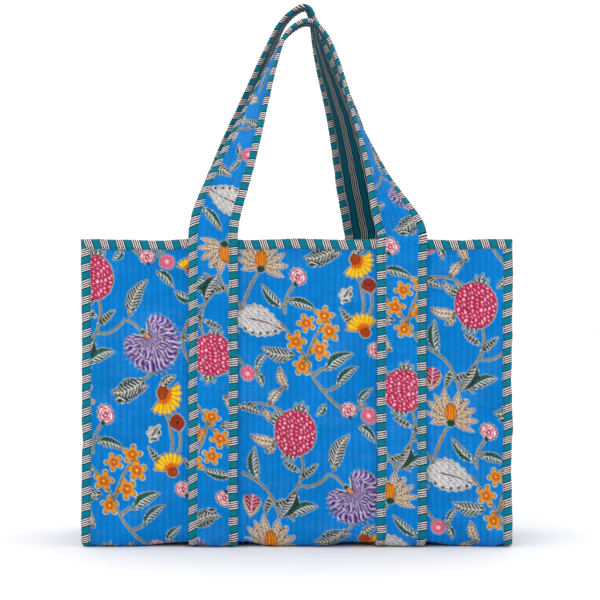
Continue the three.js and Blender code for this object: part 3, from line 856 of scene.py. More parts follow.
def strap_center(strap, side):
    """Where the middle of a strap's leg, on the left (-1) or right (1), crosses the panel that it lies on."""
    return hand_of(strap) * strap["shift"] + side * strap["span"] / 2


def soft_form(points):
    """Slight slack in every direction, so that the cloth has somewhere to buckle."""
    rng = np.random.default_rng(21)
    return sum(
        amount * np.sin(points @ rng.normal(0, 1, 3) * 2 * np.pi / size + rng.uniform(0, 6))[:, None]
        * rng.normal(0, 1, 3)
        for amount, size in ((0.5, 160), (0.45, 110), (0.35, 70), (0.3, 50), (0.3, 42))
    )


def make_cloth(shell):
    """Quilted cotton with a little air pressure inside and a little slack, held by its group of weights."""
    cloth = shell.modifiers.new("cloth", "CLOTH")
    settings = cloth.settings
    settings.quality = 6
    settings.mass = 0.12
    settings.tension_stiffness = settings.compression_stiffness = 25
    settings.shear_stiffness = 12
    settings.bending_stiffness = 6
    settings.air_damping = 4
    settings.tension_damping = settings.compression_damping = 12
    settings.vertex_group_mass = "held"
    settings.pin_stiffness = 1
    settings.shrink_min = -0.012
    settings.use_pressure = True
    settings.uniform_pressure_force = 0.6
    settings.effector_weights.gravity = 0.35
    cloth.collision_settings.use_collision = False
    cloth.point_cache.frame_start, cloth.point_cache.frame_end = 1, 30


def simulate_shell():
    """Lets the shell's cloth settle, and returns how far each point of its wall and its ends moved."""
    points, faces, wall_index, ends = build_shell()
    mesh = bpy.data.meshes.new("shell")
    mesh.from_pydata(((points + soft_form(points)) * MM).tolist(), [], faces.tolist())
    shell = bpy.data.objects.new("shell", mesh)
    bpy.context.scene.collection.objects.link(shell)
    group = shell.vertex_groups.new(name="held")
    for index, weight in enumerate(hold_of(points)):
        group.add([index], float(weight), "REPLACE")
    make_cloth(shell)
    for number in range(1, LAST_FRAME + 1):
        bpy.context.scene.frame_set(number)
    moved = shell.evaluated_get(bpy.context.evaluated_depsgraph_get()).to_mesh()
    final = np.zeros(len(points) * 3)
    moved.vertices.foreach_get("co", final)
    move = final.reshape(-1, 3) / MM - points
    bpy.data.objects.remove(shell)
    bpy.context.scene.frame_set(1)
    long = np.linalg.norm(move, axis=1, keepdims=True)
    move *= np.minimum(1, MOST_MOVE / np.maximum(long, 1e-9))
    return move[wall_index], [move[grid] for grid in ends]


WALL_MOVE, END_MOVES = simulate_shell()


def spline_shares(t):
    """How much each of four neighbours in a row counts, at a share t of the way between the middle two."""
    return (
        (1 - t) ** 3 / 6,
        (3 * t**3 - 6 * t**2 + 4) / 6,
        (-3 * t**3 + 3 * t**2 + 3 * t + 1) / 6,
        t**3 / 6,
    )


def between(grid, row, column):
    """Smooth values between the points of a grid."""
    total = 0
    weights = []
    for at, most in ((row, grid.shape[0] - 1), (column, grid.shape[1] - 1)):
        at = np.clip(at, 0, most - 1e-6)
        base = np.floor(at).astype(int)
        shares = spline_shares(at - base)
        weights.append([(np.clip(base + k - 1, 0, most), share) for k, share in enumerate(shares)])
    for rows, by_row in weights[0]:
        for columns, by_column in weights[1]:
            total = total + grid[rows, columns] * (by_row * by_column)[..., None]
    return total


def clear_of_straps(x, run):
    """From 0 under a strap to 1 where the bottom hangs free between the straps."""
    clear = np.ones(np.shape(x + run))
    for strap in (FRONT, BACK):
        for side in (-1, 1):
            away = np.abs(x - strap_center(strap, side)) - STRAP_HALF - 2
            clear = np.minimum(clear, np.clip(away / 26, 0, 1))
    return smoothstep(clear)


def wall_move(x, run):
    """How far the wall has moved at a place, as a vector.

    It is the simulated move, with a soft wave along the rim, and a sag of the bottom between the straps
    that stops short of the floor.
    """
    column = (x + SEAM_START) / (2 * SEAM_START) * SHELL_COLUMNS
    move = between(WALL_MOVE, shell_row(run), column)
    out_z = wall_section(run, 0)[3]
    rim = np.exp(-np.minimum(run, WALL_RUN - run) / 45)
    side = np.where(run < WALL_RUN / 2, 0.0, 2.1)
    wave = 0.9 * np.sin(x / 52 + 0.6 + side) + 0.6 * np.sin(x / 23 + 1.9 + 2 * side)
    move[..., 1] += rim * wave
    move[..., 2] += 0.35 * rim * np.sin(x / 37 + 1.0 + side)
    under = np.clip(-out_z, 0, 1)
    sag = clear_of_straps(x, run)
    move[..., 2] -= under * sag * (2.2 + 0.7 * np.sin(x / 19))
    lowest = np.where(under > 0, -0.84 * FLOOR_LEVEL * sag - 0.02, -NO_LIMIT)
    move[..., 2] = np.maximum(move[..., 2], lowest)
    return move


def end_move(side, y, z):
    """How far a gusset has moved at a place. It folds inwards a little, most of all near the rim."""
    row = (WALL_TOP - z) / PANEL_DROP * SIDE_ROWS
    column = (y + HALF_DEPTH) / (2 * HALF_DEPTH) * DEPTH_ROWS
    move = between(END_MOVES[0 if side < 0 else 1], row, column)
    across = np.clip(1 - (y / (HALF_DEPTH - 4)) ** 2, 0, 1)
    up = np.clip((z - FLOOR_LEVEL) / PANEL_DROP, 0, 1)
    pinch = across**1.2 * (1.5 + 6.5 * up**1.4) * np.clip((z - FLOOR_LEVEL - 4) / 40, 0, 1)
    move[..., 0] -= side * pinch
    return move


# ---- Making meshes ---------------------------------------------------------------------------------------
FINE = 0.9  # mesh cell of the printed cloth
COARSE = 1.6  # and of the lining
PAD_CELL = 6  # and of the wadding
WALL_PAD_LEVELS = (1.3, 2.7)  # of the wadding's faces, inwards from the wall's outer face
STRAP_PAD_LEVELS = (2.7, 1.8)  # and outwards from a strap's inner face


def make_piece(name, points, quads, material, run=None, paint=None):
    """A smooth mesh from points in millimetres. run is a pair of lengths at each point, for the stripes."""
    mesh = bpy.data.meshes.new(name)
    points = np.array(points, float).reshape(-1, 3)
    points[:, 2] = np.maximum(points[:, 2], 0.02)
    quads = np.ascontiguousarray(quads, np.int32)
    mesh.vertices.add(len(points))
    mesh.vertices.foreach_set("co", (points * MM).astype(np.float32).ravel())
    mesh.loops.add(quads.size)
    mesh.loops.foreach_set("vertex_index", quads.ravel())
    mesh.polygons.add(len(quads))
    mesh.polygons.foreach_set("loop_start", np.arange(0, quads.size, 4, dtype=np.int32))
    mesh.update(calc_edges=True)
    mesh.shade_smooth()
    if run is not None:
        flat = (np.array(run, float).reshape(-1, 2) * MM)[quads.ravel()]
        mesh.uv_layers.new(name="run").data.foreach_set("uv", flat.astype(np.float32).ravel())
    if paint is not None:
        colors = np.ones((len(points), 4), np.float32)
        colors[:, :3] = paint.reshape(-1, 3)
        layer = mesh.color_attributes.new("print", "FLOAT_COLOR", "POINT")
        layer.data.foreach_set("color", colors.ravel())
    mesh.materials.append(material)
    piece = bpy.data.objects.new(name, mesh)
    bpy.context.scene.collection.objects.link(piece)
    return piece


def grid_quads(rows, columns, flip=False):
    quads = quads_of(np.arange(rows * columns).reshape(rows, columns))
    return quads[:, ::-1] if flip else quads


def paired(first, second):
    """Two lengths at each point of a grid, for a piece's run."""
    return np.stack(np.broadcast_arrays(first, second), axis=-1)


def lengths_along(line):
    """The length along a line at each of its points."""
    return np.concatenate([[0], np.cumsum(np.linalg.norm(np.diff(line, axis=0), axis=1))])


def picked(at, steps, values):
    """Vectors at some lengths along a line, from their values at its points."""
    return np.stack([np.interp(at, steps, column) for column in values.T], axis=1)


def direction(vectors):
    return vectors / np.maximum(np.linalg.norm(vectors, axis=1, keepdims=True), 1e-9)


def grid_of(low, high, cell):
    return np.linspace(low, high, max(2, round((high - low) / cell) + 1))


def rumple(shape, cell, high, wide, seed):
    """Soft noise over a grid, about from -1 to 1, with lumps of that height and width in millimetres."""
    draw = np.random.default_rng(seed).standard_normal(shape)
    up = np.fft.fftfreq(shape[0])[:, None] * high / cell
    across = np.fft.rfftfreq(shape[1])[None, :] * wide / cell
    soften = np.exp(-2.4 * (up**2 + across**2))
    field = np.fft.irfft2(np.fft.rfft2(draw) * soften, s=shape)
    return np.clip(field / (2 * field.std()), -1.2, 1.2)


def smoothstep(t):
    t = np.clip(t, 0, 1)
    return t * t * (3 - 2 * t)


DEEPEST = -1.0  # a quilting groove never reaches the wadding


def quilting(across, along, cell, seed, depth=0.85):
    """The puffed channels between lines of running stitch, and how deep in a line each point is.

    across and along are a grid's positions. The height is outward from the cloth's level face.
    """
    shape = (len(along), len(across))
    line = np.round(across / CHANNEL).astype(int)
    rng = np.random.default_rng(seed)
    phase = rng.uniform(0, 1, 1000)[line % 1000]
    sway = 0.35 * rumple(shape, cell, 60, 8, seed + 1)
    ridge = np.abs(np.sin(np.pi * (across[None, :] + sway) / CHANNEL)) ** 0.62
    stitch = 0.5 + 0.5 * np.cos(2 * np.pi * (along[:, None] / STITCH + phase[None, :]))
    groove = (1 - ridge) * (0.72 + 0.28 * stitch)
    pucker = 0.2 * rumple(shape, cell, 2.6, 7.5, seed + 2) * (0.4 + ridge)
    crease = 0.42 * rumple(shape, cell, 11, 34, seed + 3)
    swell = 0.45 * rumple(shape, cell, 46, 40, seed + 4)
    return np.maximum(0.3 - depth * groove + pucker + crease + swell, DEEPEST), groove


# Ink spreads a little. The tile's outer columns meet the next tile half a repeat lower, and stay sharp.
PRINT = to_linear(draw_repeat())
PRINT = (np.roll(PRINT, 1, 0) + PRINT + np.roll(PRINT, -1, 0)) / 3
PRINT[:, 1:-1] = (PRINT[:, :-2] + PRINT[:, 1:-1] + PRINT[:, 2:]) / 3


def printed(x, y):
    """The print's colour at places on the front panel, or on any cloth laid out like it."""
    return cloth_color(SKEW[0, 0] * x + SKEW[0, 1] * y, SKEW[1, 0] * x + SKEW[1, 1] * y)


def cloth_color(across, up):
    """The print's colour at places on the cloth, in its own millimetres."""
    column, row = across / DOT - 0.5, up / DOT - 0.5
    left, low = np.floor(column).astype(int), np.floor(row).astype(int)
    total = 0
    for right_step in (0, 1):
        for up_step in (0, 1):
            place = left + right_step
            height = low + up_step + (place // COLUMNS) * (ROWS // 2)
            share = np.abs(1 - right_step - column + left) * np.abs(1 - up_step - row + low)
            total = total + PRINT[height % ROWS, place % COLUMNS] * share[..., None]
    return total


def hand_laid(x, up):
    """Left of the left strap the block was set down a little further left, and lower near the bottom."""
    left = smoothstep((-x - 62) / 50)
    return x + 13 * left, up + 13.5 * left * (1 - smoothstep((up - 110) / 110))


def with_painted_shade_and_wear(color, groove, proud_wear_and_shade, cell, seed):
    """Painted shade, darker in the stitched lines and where the cloth sinks and lighter where it stands
    proud, and wear that rubs proud cloth a little paler.
    """
    warp = 0.035 * rumple(color.shape[:2], cell, 24, 1.5, seed)
    weft = 0.03 * rumple(color.shape[:2], cell, 1.5, 24, seed + 1)
    # painted shade: the stitched grooves and sunk cloth darken, proud cloth lightens; warp and weft are
    # uneven dye
    factor = 1 - 0.2 * groove**1.5 + (warp + weft) + 0.03 * proud_wear_and_shade
    # wear: proud cloth rubbed a little paler
    paler = 0.012 * np.clip(proud_wear_and_shade, 0, 1)
    return np.clip(color * factor[..., None] + paler[..., None], 0, 1)


# ---- The walls -------------------------------------------------------------------------------------------
def leg_center(side, run):
    """The middle of the strap that crosses the wall at a run, on the left or the right."""
    y, _, _, _ = wall_section(run, 0)
    share = np.clip((y + HALF_DEPTH) / (2 * HALF_DEPTH), 0, 1)
    return strap_center(FRONT, side) * (1 - share) + strap_center(BACK, side) * share


def open_wall(xs, runs):
    """1 where the wall is free to puff, down to 0 where a binding or a strap presses it flat."""
    x, run = np.meshgrid(xs, runs)
    down = np.minimum(run, WALL_RUN - run)
    free = smoothstep((SEAM_START - 0.5 - np.abs(x)) / 5)
    free = free * smoothstep((down - (WALL_TOP - RIM_EDGE) + 0.5) / 5)
    for side in (-1, 1):
        away = np.abs(x - leg_center(side, run)) - STRAP_HALF
        free = free * smoothstep((away + 0.8) / 5)
    return free


def placed_wall(x, run, level):
    """Points of the wall at a level inwards, moved with its form."""
    y, z, _, _ = wall_section(run, level)
    points = np.stack(np.broadcast_arrays(x, y, z), axis=-1).astype(float)
    return points + wall_move(x, run)


def add_outer_cloth():
    xs = grid_of(-SEAM_START - 4, SEAM_START + 4, FINE)
    runs = grid_of(1.5, WALL_RUN - 1.5, FINE)
    height, groove = quilting(xs, runs, FINE, 100)
    free = open_wall(xs, runs)
    x, run = np.meshgrid(xs, runs)
    level = 0.15 - height * free
    points = placed_wall(x, run, level)
    # the print's colour, with painted shade and wear from the quilting
    color = with_painted_shade_and_wear(printed(*hand_laid(x, WALL_TOP - run)), groove * free, height * free, FINE, 120)
    quads = grid_quads(len(runs), len(xs))
    return make_piece("outer_cloth", points, quads, PRINTED, run=paired(x, run), paint=color)


def add_wall_lining():
    xs = grid_of(-GUSSET_INSIDE, GUSSET_INSIDE, COARSE)
    runs = grid_of(1.5, WALL_RUN - 1.5, COARSE)
    height, _ = quilting(xs, runs, COARSE, 140, 0.6)
    x, run = np.meshgrid(xs, runs)
    down = np.minimum(run, WALL_RUN - run)
    free = smoothstep((GUSSET_INSIDE - np.abs(x)) / 4) * smoothstep((down - 10) / 4)
    points = placed_wall(x, run, WALL_THICKNESS + height * free * 0.8)
    quads = grid_quads(len(runs), len(xs), flip=True)
    return make_piece("wall_lining", points, quads, SHADED_LINING, run=paired(x, run))


def slab(outer, inner):
    """A closed pad between two grids of points: one long band that wraps round, with its ends closed."""
    rows, columns = outer.shape[:2]
    index = np.arange(2 * rows * columns).reshape(2, rows, columns)
    top, under = index
    rim = np.concatenate([top[0], top[1:, -1], top[-1, -2::-1], top[-2:0:-1, 0]])
    low = np.concatenate([under[0], under[1:, -1], under[-1, -2::-1], under[-2:0:-1, 0]])
    edge = np.stack([np.roll(rim, -1), rim, low, np.roll(low, -1)], axis=-1)
    quads = np.concatenate([quads_of(top), quads_of(under)[:, ::-1], edge[:, ::-1]])
    return np.concatenate([outer.reshape(-1, 3), inner.reshape(-1, 3)]), quads


def add_pad(name, outer, inner, run, flip=False):
    """A piece of wadding between two grids of points."""
    points, quads = slab(outer, inner)
    quads = quads[:, ::-1] if flip else quads
    return make_piece(name, points, quads, WADDING, run=np.concatenate([run] * 2))


def add_wall_padding():
    xs = grid_of(-GUSSET_INSIDE + 1, GUSSET_INSIDE - 1, PAD_CELL)
    runs = grid_of(2, WALL_RUN - 2, PAD_CELL)
    x, run = np.meshgrid(xs, runs)
    outer, inner = (placed_wall(x, run, level) for level in WALL_PAD_LEVELS)
    return add_pad("wall_padding", outer, inner, paired(x, run))


# ---- The gussets -----------------------------------------------------------------------------------------
FLANGE_LEVEL = 4.0
GUSSET_HALF = HALF_DEPTH - FLANGE_LEVEL
GUSSET_FLOOR = FLOOR_LEVEL + FLANGE_LEVEL
END_RADIUS = CORNER_RADIUS - FLANGE_LEVEL
EDGE_TURN = 2.0  # radius of the turn from the gusset into its seam
GUSSET_DROP = WALL_TOP - GUSSET_FLOOR


def rounded_corners(flat_p, flat_drop):
    """A place in a gusset's outline, pulled in round its bottom corners.

    Both are returned as shares of the corner's ring, 0 where the corners begin, and as lengths.
    """
    ring = END_RADIUS - EDGE_TURN
    side_start, low_start = GUSSET_HALF - END_RADIUS, GUSSET_DROP - END_RADIUS
    a = np.clip((np.abs(flat_p) - GUSSET_HALF + END_RADIUS) / ring, 0, 1)
    b = np.clip((flat_drop - GUSSET_DROP + END_RADIUS) / ring, 0, 1)
    both = (a > 0) & (b > 0)
    round_a = np.where(both, a * np.sqrt(1 - b * b / 2), a)
    round_b = np.where(both, b * np.sqrt(1 - a * a / 2), b)
    y = np.where(np.abs(flat_p) > side_start, side_start + round_a * ring, np.abs(flat_p))
    z_drop = np.where(flat_drop > low_start, low_start + round_b * ring, flat_drop)
    return round_a, round_b, y, z_drop


def gusset_points(side, ps, drops, level, height, edge):
    """A gusset's grid: ps run across it and drops down from the rim, edge past its outline into the seam."""
    p, drop = np.meshgrid(ps, drops)
    over_p = np.maximum(np.abs(p) - (GUSSET_HALF - EDGE_TURN), 0)
    over_z = np.maximum(drop - (GUSSET_DROP - EDGE_TURN), 0)
    over = np.maximum(over_p, over_z)
    flat_p = np.sign(p) * np.minimum(np.abs(p), GUSSET_HALF - EDGE_TURN)
    flat_drop = np.minimum(drop, GUSSET_DROP - EDGE_TURN)
    round_a, round_b, y, z_drop = rounded_corners(flat_p, flat_drop)
    out_a, out_b = np.where(over_p > 0, round_a, 0), np.where(over_z > 0, round_b, 0)
    norm = np.maximum(np.hypot(out_a, out_b), 1e-6)
    turn = np.minimum(over / EDGE_TURN, math.pi / 2)
    outward = EDGE_TURN * np.sin(turn)
    y = np.sign(p) * (y + outward * out_a / norm)
    z = WALL_TOP - (z_drop + outward * out_b / norm)
    rise = EDGE_TURN * (1 - np.cos(turn)) + np.maximum(over - EDGE_TURN * math.pi / 2, 0)
    x = side * (level + height + np.minimum(rise, edge))
    return np.stack([x, y, z], axis=-1) + end_move(side, y, z), p, drop


def add_gusset_cloth(side, label):
    ps = grid_of(-GUSSET_HALF - 4, GUSSET_HALF + 4, FINE)
    drops = grid_of(1.5, GUSSET_DROP + 4, FINE)
    height, groove = quilting(ps, drops, FINE, 200 + side)
    p, drop = np.meshgrid(ps, drops)
    free = smoothstep((GUSSET_HALF - 2.5 - np.abs(p)) / 5) * smoothstep((drop - 9) / 4)
    free = free * smoothstep((GUSSET_DROP - 2.5 - drop) / 5)
    points, _, _ = gusset_points(side, ps, drops, GUSSET_FACE - 0.15, height * free, 5.0)
    color = printed(side * p + 60 * side + 40, WALL_TOP - drop + 70)
    color = with_painted_shade_and_wear(color, groove * free, height * free, FINE, 220 + side)
    quads = grid_quads(len(drops), len(ps), flip=side < 0)
    name = "gusset_" + label + "_cloth"
    return make_piece(name, points, quads, PRINTED, run=paired(p, drop), paint=color)


def add_gusset_lining(side, label):
    ps = grid_of(-GUSSET_HALF, GUSSET_HALF, COARSE)
    drops = grid_of(1.5, GUSSET_DROP, COARSE)
    height, _ = quilting(ps, drops, COARSE, 240 + side, 0.6)
    p, drop = np.meshgrid(ps, drops)
    free = smoothstep((GUSSET_HALF - 2 - np.abs(p)) / 4) * smoothstep((drop - 10) / 4)
    points, _, _ = gusset_points(side, ps, drops, GUSSET_INSIDE, -height * free * 0.8, 0)
    quads = grid_quads(len(drops), len(ps), flip=side > 0)
    name = "gusset_" + label + "_inside"
    return make_piece(name, points, quads, SHADED_LINING, run=paired(p, drop))


def add_gusset_padding(side, label):
    ps = grid_of(-GUSSET_HALF + 2.5, GUSSET_HALF - 2.5, PAD_CELL)
    drops = grid_of(2, GUSSET_DROP - 2.5, PAD_CELL)
    outer, p, drop = gusset_points(side, ps, drops, GUSSET_FACE - 1.8, 0, 0)
    inner, _, _ = gusset_points(side, ps, drops, GUSSET_INSIDE + 0.8, 0, 0)
    return add_pad("gusset_" + label + "_padding", outer, inner, paired(p, drop), flip=side < 0)


# ---- Bindings --------------------------------------------------------------------------------------------
def rounded(points, cell=0.8):
    """A smooth line through a section's corners, as points a cell apart, and its running length."""
    corners = np.array(points, float)
    steps = np.concatenate([[0], np.cumsum(np.hypot(*np.diff(corners, axis=0).T))])
    at = np.linspace(0, steps[-1], round(steps[-1] / cell) + 1)
    line = np.stack([np.interp(at, steps, corners[:, k]) for k in (0, 1)], axis=1)
    for _ in range(2):
        line[1:-1] = 0.25 * line[:-2] + 0.5 * line[1:-1] + 0.25 * line[2:]
    return line, at


def puckers(count, across, cell, seed, amount=0.2):
    """How a bias strip stands up in small lumps between its stitches."""
    small = rumple((count, across), cell, 3.6, 5, seed)
    lumps = small + 0.5 * rumple((count, across), cell, 16, 10, seed + 1)
    pull = 0.5 + 0.5 * np.cos(2 * np.pi * np.arange(count) * cell / STITCH)
    return amount * (lumps - 0.5 * pull[:, None])


def swollen(line):
    """Outward directions along a section."""
    tangent = np.gradient(line, axis=0)
    normal = np.stack([tangent[:, 1], -tangent[:, 0]], axis=1)
    normal /= np.maximum(np.linalg.norm(normal, axis=1, keepdims=True), 1e-9)
    middle = line.mean(axis=0)
    flip = np.sign(((line - middle) * normal).sum(axis=1).mean())
    return normal * flip


def puffed(profile, count, cell, seed, amount=0.2, calm_below=-math.inf):
    """A folded strip's section, repeated along it with puckers.

    Returns the section's two coordinates at each point, its line, and the lengths along that line. The
    part of the section below calm_below lies flatter.
    """
    line, width = rounded(profile)
    normal = swollen(line)
    lump = puckers(count, len(line), cell, seed, amount)
    lump = lump * np.where(line[None, :, 1] < calm_below, 0.45, 1)
    first = line[None, :, 0] + lump * normal[None, :, 0]
    second = line[None, :, 1] + lump * normal[None, :, 1]
    return first, second, line, width


def stitch_rows(points, trim):
    """The lines of stitching along both edges of a strip, each trimmed at its ends."""
    rows = []
    for edge in (EDGE_STITCH, points.shape[1] - 1 - EDGE_STITCH):
        rows.append((points[trim, edge], side_normals(points, edge)[trim]))
    return rows


EDGE_STITCH = 3  # points in from a strip's edge to its stitching
STRIPE_SLANT = 0.2  # of the stripes on the seam and rim bindings

# Sections of the folded strips. A seam's is X and the level inwards from the wall's outer face, the rim's
# is that level and Z, and a strap's is from its middle and from its inner face.
SEAM_PROFILE = [
    (SEAM_START + 0.2, -0.1), (SEAM_START, -0.7), (217.5, -1.05), (221.5, -1.0), (224.4, -0.5), (225.7, 0.9),
    (225.9, 2.2), (225.6, 3.7), (224.3, 4.9), (221.5, 5.4), (217.5, 5.4), (SEAM_START + 0.1, 5.1),
    (SEAM_START + 0.2, 4.4),
]
RIM_PROFILE = [
    (-0.7, 313.1), (-1.5, 313.2), (-1.75, 316), (-1.7, 319.5), (-1.3, 321.9), (0.1, 323.2), (1.8, 323.6),
    (3.5, 323.2), (4.8, 321.9), (5.2, 319.5), (5.2, 316), (4.9, 313.3), (4.1, 313.1),
]
STRAP_PROFILE = [
    (16.3, 3.6), (16.5, 4.1), (19.5, 4.5), (23.2, 4.35), (25.2, 3.6), (25.95, 2.2), (25.2, 0.8),
    (23.2, 0.2), (19.5, 0.02), (16.5, 0.15), (16.3, 0.7),
]


def add_seam_binding(side, label):
    """The strip folded over a bound seam, down the front, under the bottom and up the back."""
    runs = grid_of(1.0, WALL_RUN - 1.0, 1.0)
    px, level, line, width = puffed(SEAM_PROFILE, len(runs), 1.0, 300 + side)
    out = np.clip((px - SEAM_START) / 10, 0, 1)
    px = px + 0.5 * rumple((len(runs), 1), 1.0, 26, 1, 310 + side) * out
    level = level + 0.9 * rumple((len(runs), 1), 1.0, 45, 1, 320 + side) * out
    run = np.broadcast_to(runs[:, None], px.shape)
    y, z, _, _ = wall_section(run, level)
    points = np.stack([side * px, y, z], axis=-1) + wall_move(np.full(px.shape, side * SEAM_START), run)
    lengths = paired(run + STRIPE_SLANT * side * width, side * width[None, :])
    quads = grid_quads(len(runs), len(line), flip=side < 0)
    piece = make_piece("seam_binding_" + label + "_cloth", points, quads, BINDING, run=lengths)
    STITCH_LINES.extend(stitch_rows(points, slice(None)))
    return piece


def side_normals(points, column):
    """Directions out of a strip's face along one of its columns."""
    along = np.gradient(points[:, column], axis=0)
    across = points[:, column + 1] - points[:, column - 1]
    normal = np.cross(along, across)
    center = points.mean(axis=1)
    normal *= np.sign(((points[:, column] - center) * normal).sum(axis=1, keepdims=True))
    return direction(normal)


STITCH_LINES = []  # on the body's bindings, as each is made


def rim_strip(along, place, seed, start, wider=None):
    """One straight stretch of the rim's folded strip, with softly closed ends."""
    level, height, line, width = puffed(RIM_PROFILE, len(along), 1.0, seed, 0.17)
    if wider is not None:
        level = level + wider[:, None] * (line[None, :, 0] > 2)
    close = np.ones(len(along))
    tuck = np.sqrt(np.clip(1 - np.array([1, 0.72, 0.3]) ** 2, 0.0, 1))
    close[:3], close[-3:] = tuck, tuck[::-1]
    middle = level.mean(axis=1, keepdims=True)
    level = middle + (level - middle) * close[:, None]
    points = place(np.broadcast_to(along[:, None], level.shape), level, height)
    cut = start + along[:, None] - along[0] + STRIPE_SLANT * width[None, :]
    STITCH_LINES.extend(stitch_rows(points, slice(4, -4)))
    return points, paired(cut, width[None, :])


def add_rim_binding():
    parts = []
    end = SEAM_END + 0.9
    for index, back in enumerate((-1, 1)):

        def place_wall(x, level, height, back=back):
            down = np.maximum(WALL_TOP - height, 0)
            run = down if back < 0 else WALL_RUN - down
            points = np.stack([x, back * (HALF_DEPTH - level), height], axis=-1)
            return points + wall_move(np.clip(x, -SEAM_START, SEAM_START), run)

        along = grid_of(-end, end, 1.0)
        wider = 0.9 * smoothstep((np.abs(along) - 209) / 4)
        points, lengths = rim_strip(along, place_wall, 400 + index, index * 620, wider)
        parts.append((points, lengths, back > 0))
    for index, side in enumerate((1, -1)):

        def place_end(y, level, height, side=side):
            points = np.stack([side * (GUSSET_FACE - level), y, height], axis=-1)
            return points + end_move(side, y, np.minimum(height, WALL_TOP))

        along = grid_of(-HALF_DEPTH + 4.5, HALF_DEPTH - 4.5, 1.0)
        points, lengths = rim_strip(along, place_end, 410 + index, 455 + index * 620)
        parts.append((points, lengths, side < 0))
    return merged("rim_binding_cloth", parts, BINDING)


def merged(name, parts, material):
    """One piece from several grids of points, each turned round where it says so."""
    points, runs, quads, count = [], [], [], 0
    for grid, lengths, flip in parts:
        rows, columns = grid.shape[:2]
        quads.append(grid_quads(rows, columns, flip=flip) + count)
        points.append(grid.reshape(-1, 3))
        runs.append(lengths.reshape(-1, 2))
        count += rows * columns
    return make_joined(name, points, quads, material, runs)


def make_joined(name, points, quads, material, runs):
    run = np.concatenate(runs)
    return make_piece(name, np.concatenate(points), np.concatenate(quads), material, run=run)


# A bead of thread has four rings of four corners. Each ring has a share of its length, a lift and a size.
BEAD_RINGS = ((-0.5, -0.25, 0.5), (-0.28, 0.22, 1.0), (0.28, 0.22, 1.0), (0.5, -0.25, 0.5))
BEAD_SIDES = [
    [4 * ring + k, 4 * ring + (k + 1) % 4, 4 * ring + 4 + (k + 1) % 4, 4 * ring + 4 + k]
    for ring in range(3) for k in range(4)
]
BEAD_FACES = np.array([*BEAD_SIDES, [3, 2, 1, 0], [12, 13, 14, 15]])


def add_stitches(name, lines, length=2.7, thick=0.34):
    """Running stitches along some lines: each is a short bead of thread, sunk at its ends."""
    points, quads, runs, count = [], [], [], 0
    for line, normals in lines:
        steps = lengths_along(line)
        at = np.arange(STITCH / 2, steps[-1] - STITCH / 2, STITCH)
        center = picked(at, steps, line)
        out = direction(picked(at, steps, normals))
        along = direction(picked(at + 0.8, steps, line) - center)
        side = np.cross(along, out)
        rings = []
        for share, lift, size in BEAD_RINGS:
            middle = center + along * share * length + out * lift * thick
            for a, b in ((1, 0), (0, 1), (-1, 0), (0, -1)):
                rings.append(middle + (side * a + out * b) * thick * size)
        beads = np.stack(rings, axis=1)
        base = count + np.arange(len(beads))[:, None] * 16
        quads.append((base[:, :, None] + BEAD_FACES[None]).reshape(-1, 4))
        points.append(beads.reshape(-1, 3))
        runs.append(np.repeat(np.stack([at, at], axis=1), 16, axis=0))
        count += 16 * len(beads)
    return make_joined(name, points, quads, THREAD, runs)


# ---- The straps and handles ------------------------------------------------------------------------------
def part_way(a, b, low, high, t):
    """From a where t is low to b where t is high."""
    return (high - t) / (high - low) * a + (t - low) / (high - low) * b


def curve_through(points, count=40):
    """A centripetal Catmull-Rom curve through some points, as many short steps."""
    nodes = np.concatenate([[2 * points[0] - points[1]], points, [2 * points[-1] - points[-2]]])
    pieces = []
    for p0, p1, p2, p3 in zip(nodes, nodes[1:], nodes[2:], nodes[3:]):
        gaps = [np.linalg.norm(b - a) ** 0.5 for a, b in ((p0, p1), (p1, p2), (p2, p3))]
        k0, k1, k2, k3 = np.cumsum([0, *gaps])
        t = np.linspace(k1, k2, count, endpoint=False)[:, None]
        a1, a2, a3 = part_way(p0, p1, k0, k1, t), part_way(p1, p2, k1, k2, t), part_way(p2, p3, k2, k3, t)
        b1, b2 = part_way(a1, a2, k0, k2, t), part_way(a2, a3, k1, k3, t)
        pieces.append(part_way(b1, b2, k1, k2, t))
    return np.concatenate([*pieces, points[-1:]])


def handle_line(strap):
    """The inner face's middle line, from the left foot over the peak to the right foot."""
    foot = -HALF_DEPTH - STRAP_AT_RIM

    def spot(share, rise, side, lean):
        x = strap["shift"] + side * share * strap["span"] / 2 + strap["lean"] * rise * rise
        y = foot + (-PEAK_DEPTH - foot) * rise**lean
        return x, y, FOOT_HEIGHT + rise * strap["height"]

    (_, left_lean, left_outline), (_, right_lean, right_outline) = strap["legs"]
    left = [spot(share, rise, -1, left_lean) for share, rise in left_outline]
    right = [spot(share, rise, 1, right_lean) for share, rise in reversed(right_outline)]
    return curve_through(np.array([*left, spot(0, 1, 1, 1), *right]))


FOOT_RUN = -1.2  # the wall run at the handles' feet, a little above the wall


def leg_line(strap, side):
    """A leg's inner face from the bottom's middle to the foot, its outward directions and wall runs."""
    run = np.linspace(WALL_RUN / 2, FOOT_RUN, 420)
    z = wall_section(run, 0)[1]
    off = 0.3 + 0.8 * smoothstep((z - 262) / 26) + 0.8 * smoothstep((z - 286) / 22)
    y, z, out_y, out_z = wall_section(run, -off)
    share = np.clip((y + HALF_DEPTH + STRAP_AT_RIM) / (2 * (HALF_DEPTH + STRAP_AT_RIM)), 0, 1)
    hand = hand_of(strap)
    other = BACK if strap is FRONT else FRONT
    own, far = hand * strap_center(strap, hand * side), hand * strap_center(other, hand * side)
    points = np.stack([own + (far - own) * share, y, z], axis=1)
    outs = np.stack([np.zeros(len(run)), out_y, out_z], axis=1)
    return points, outs, run


def softened(values, width):
    """A run of vectors with each blurred along it, its ends kept."""
    offsets = np.arange(-3 * width, 3 * width + 1)
    weights = np.exp(-0.5 * (offsets / width) ** 2)
    weights /= weights.sum()
    padded = np.concatenate([values[:1].repeat(3 * width, 0), values, values[-1:].repeat(3 * width, 0)])
    return np.stack([np.convolve(padded[:, k], weights, "valid") for k in range(values.shape[1])], axis=1)


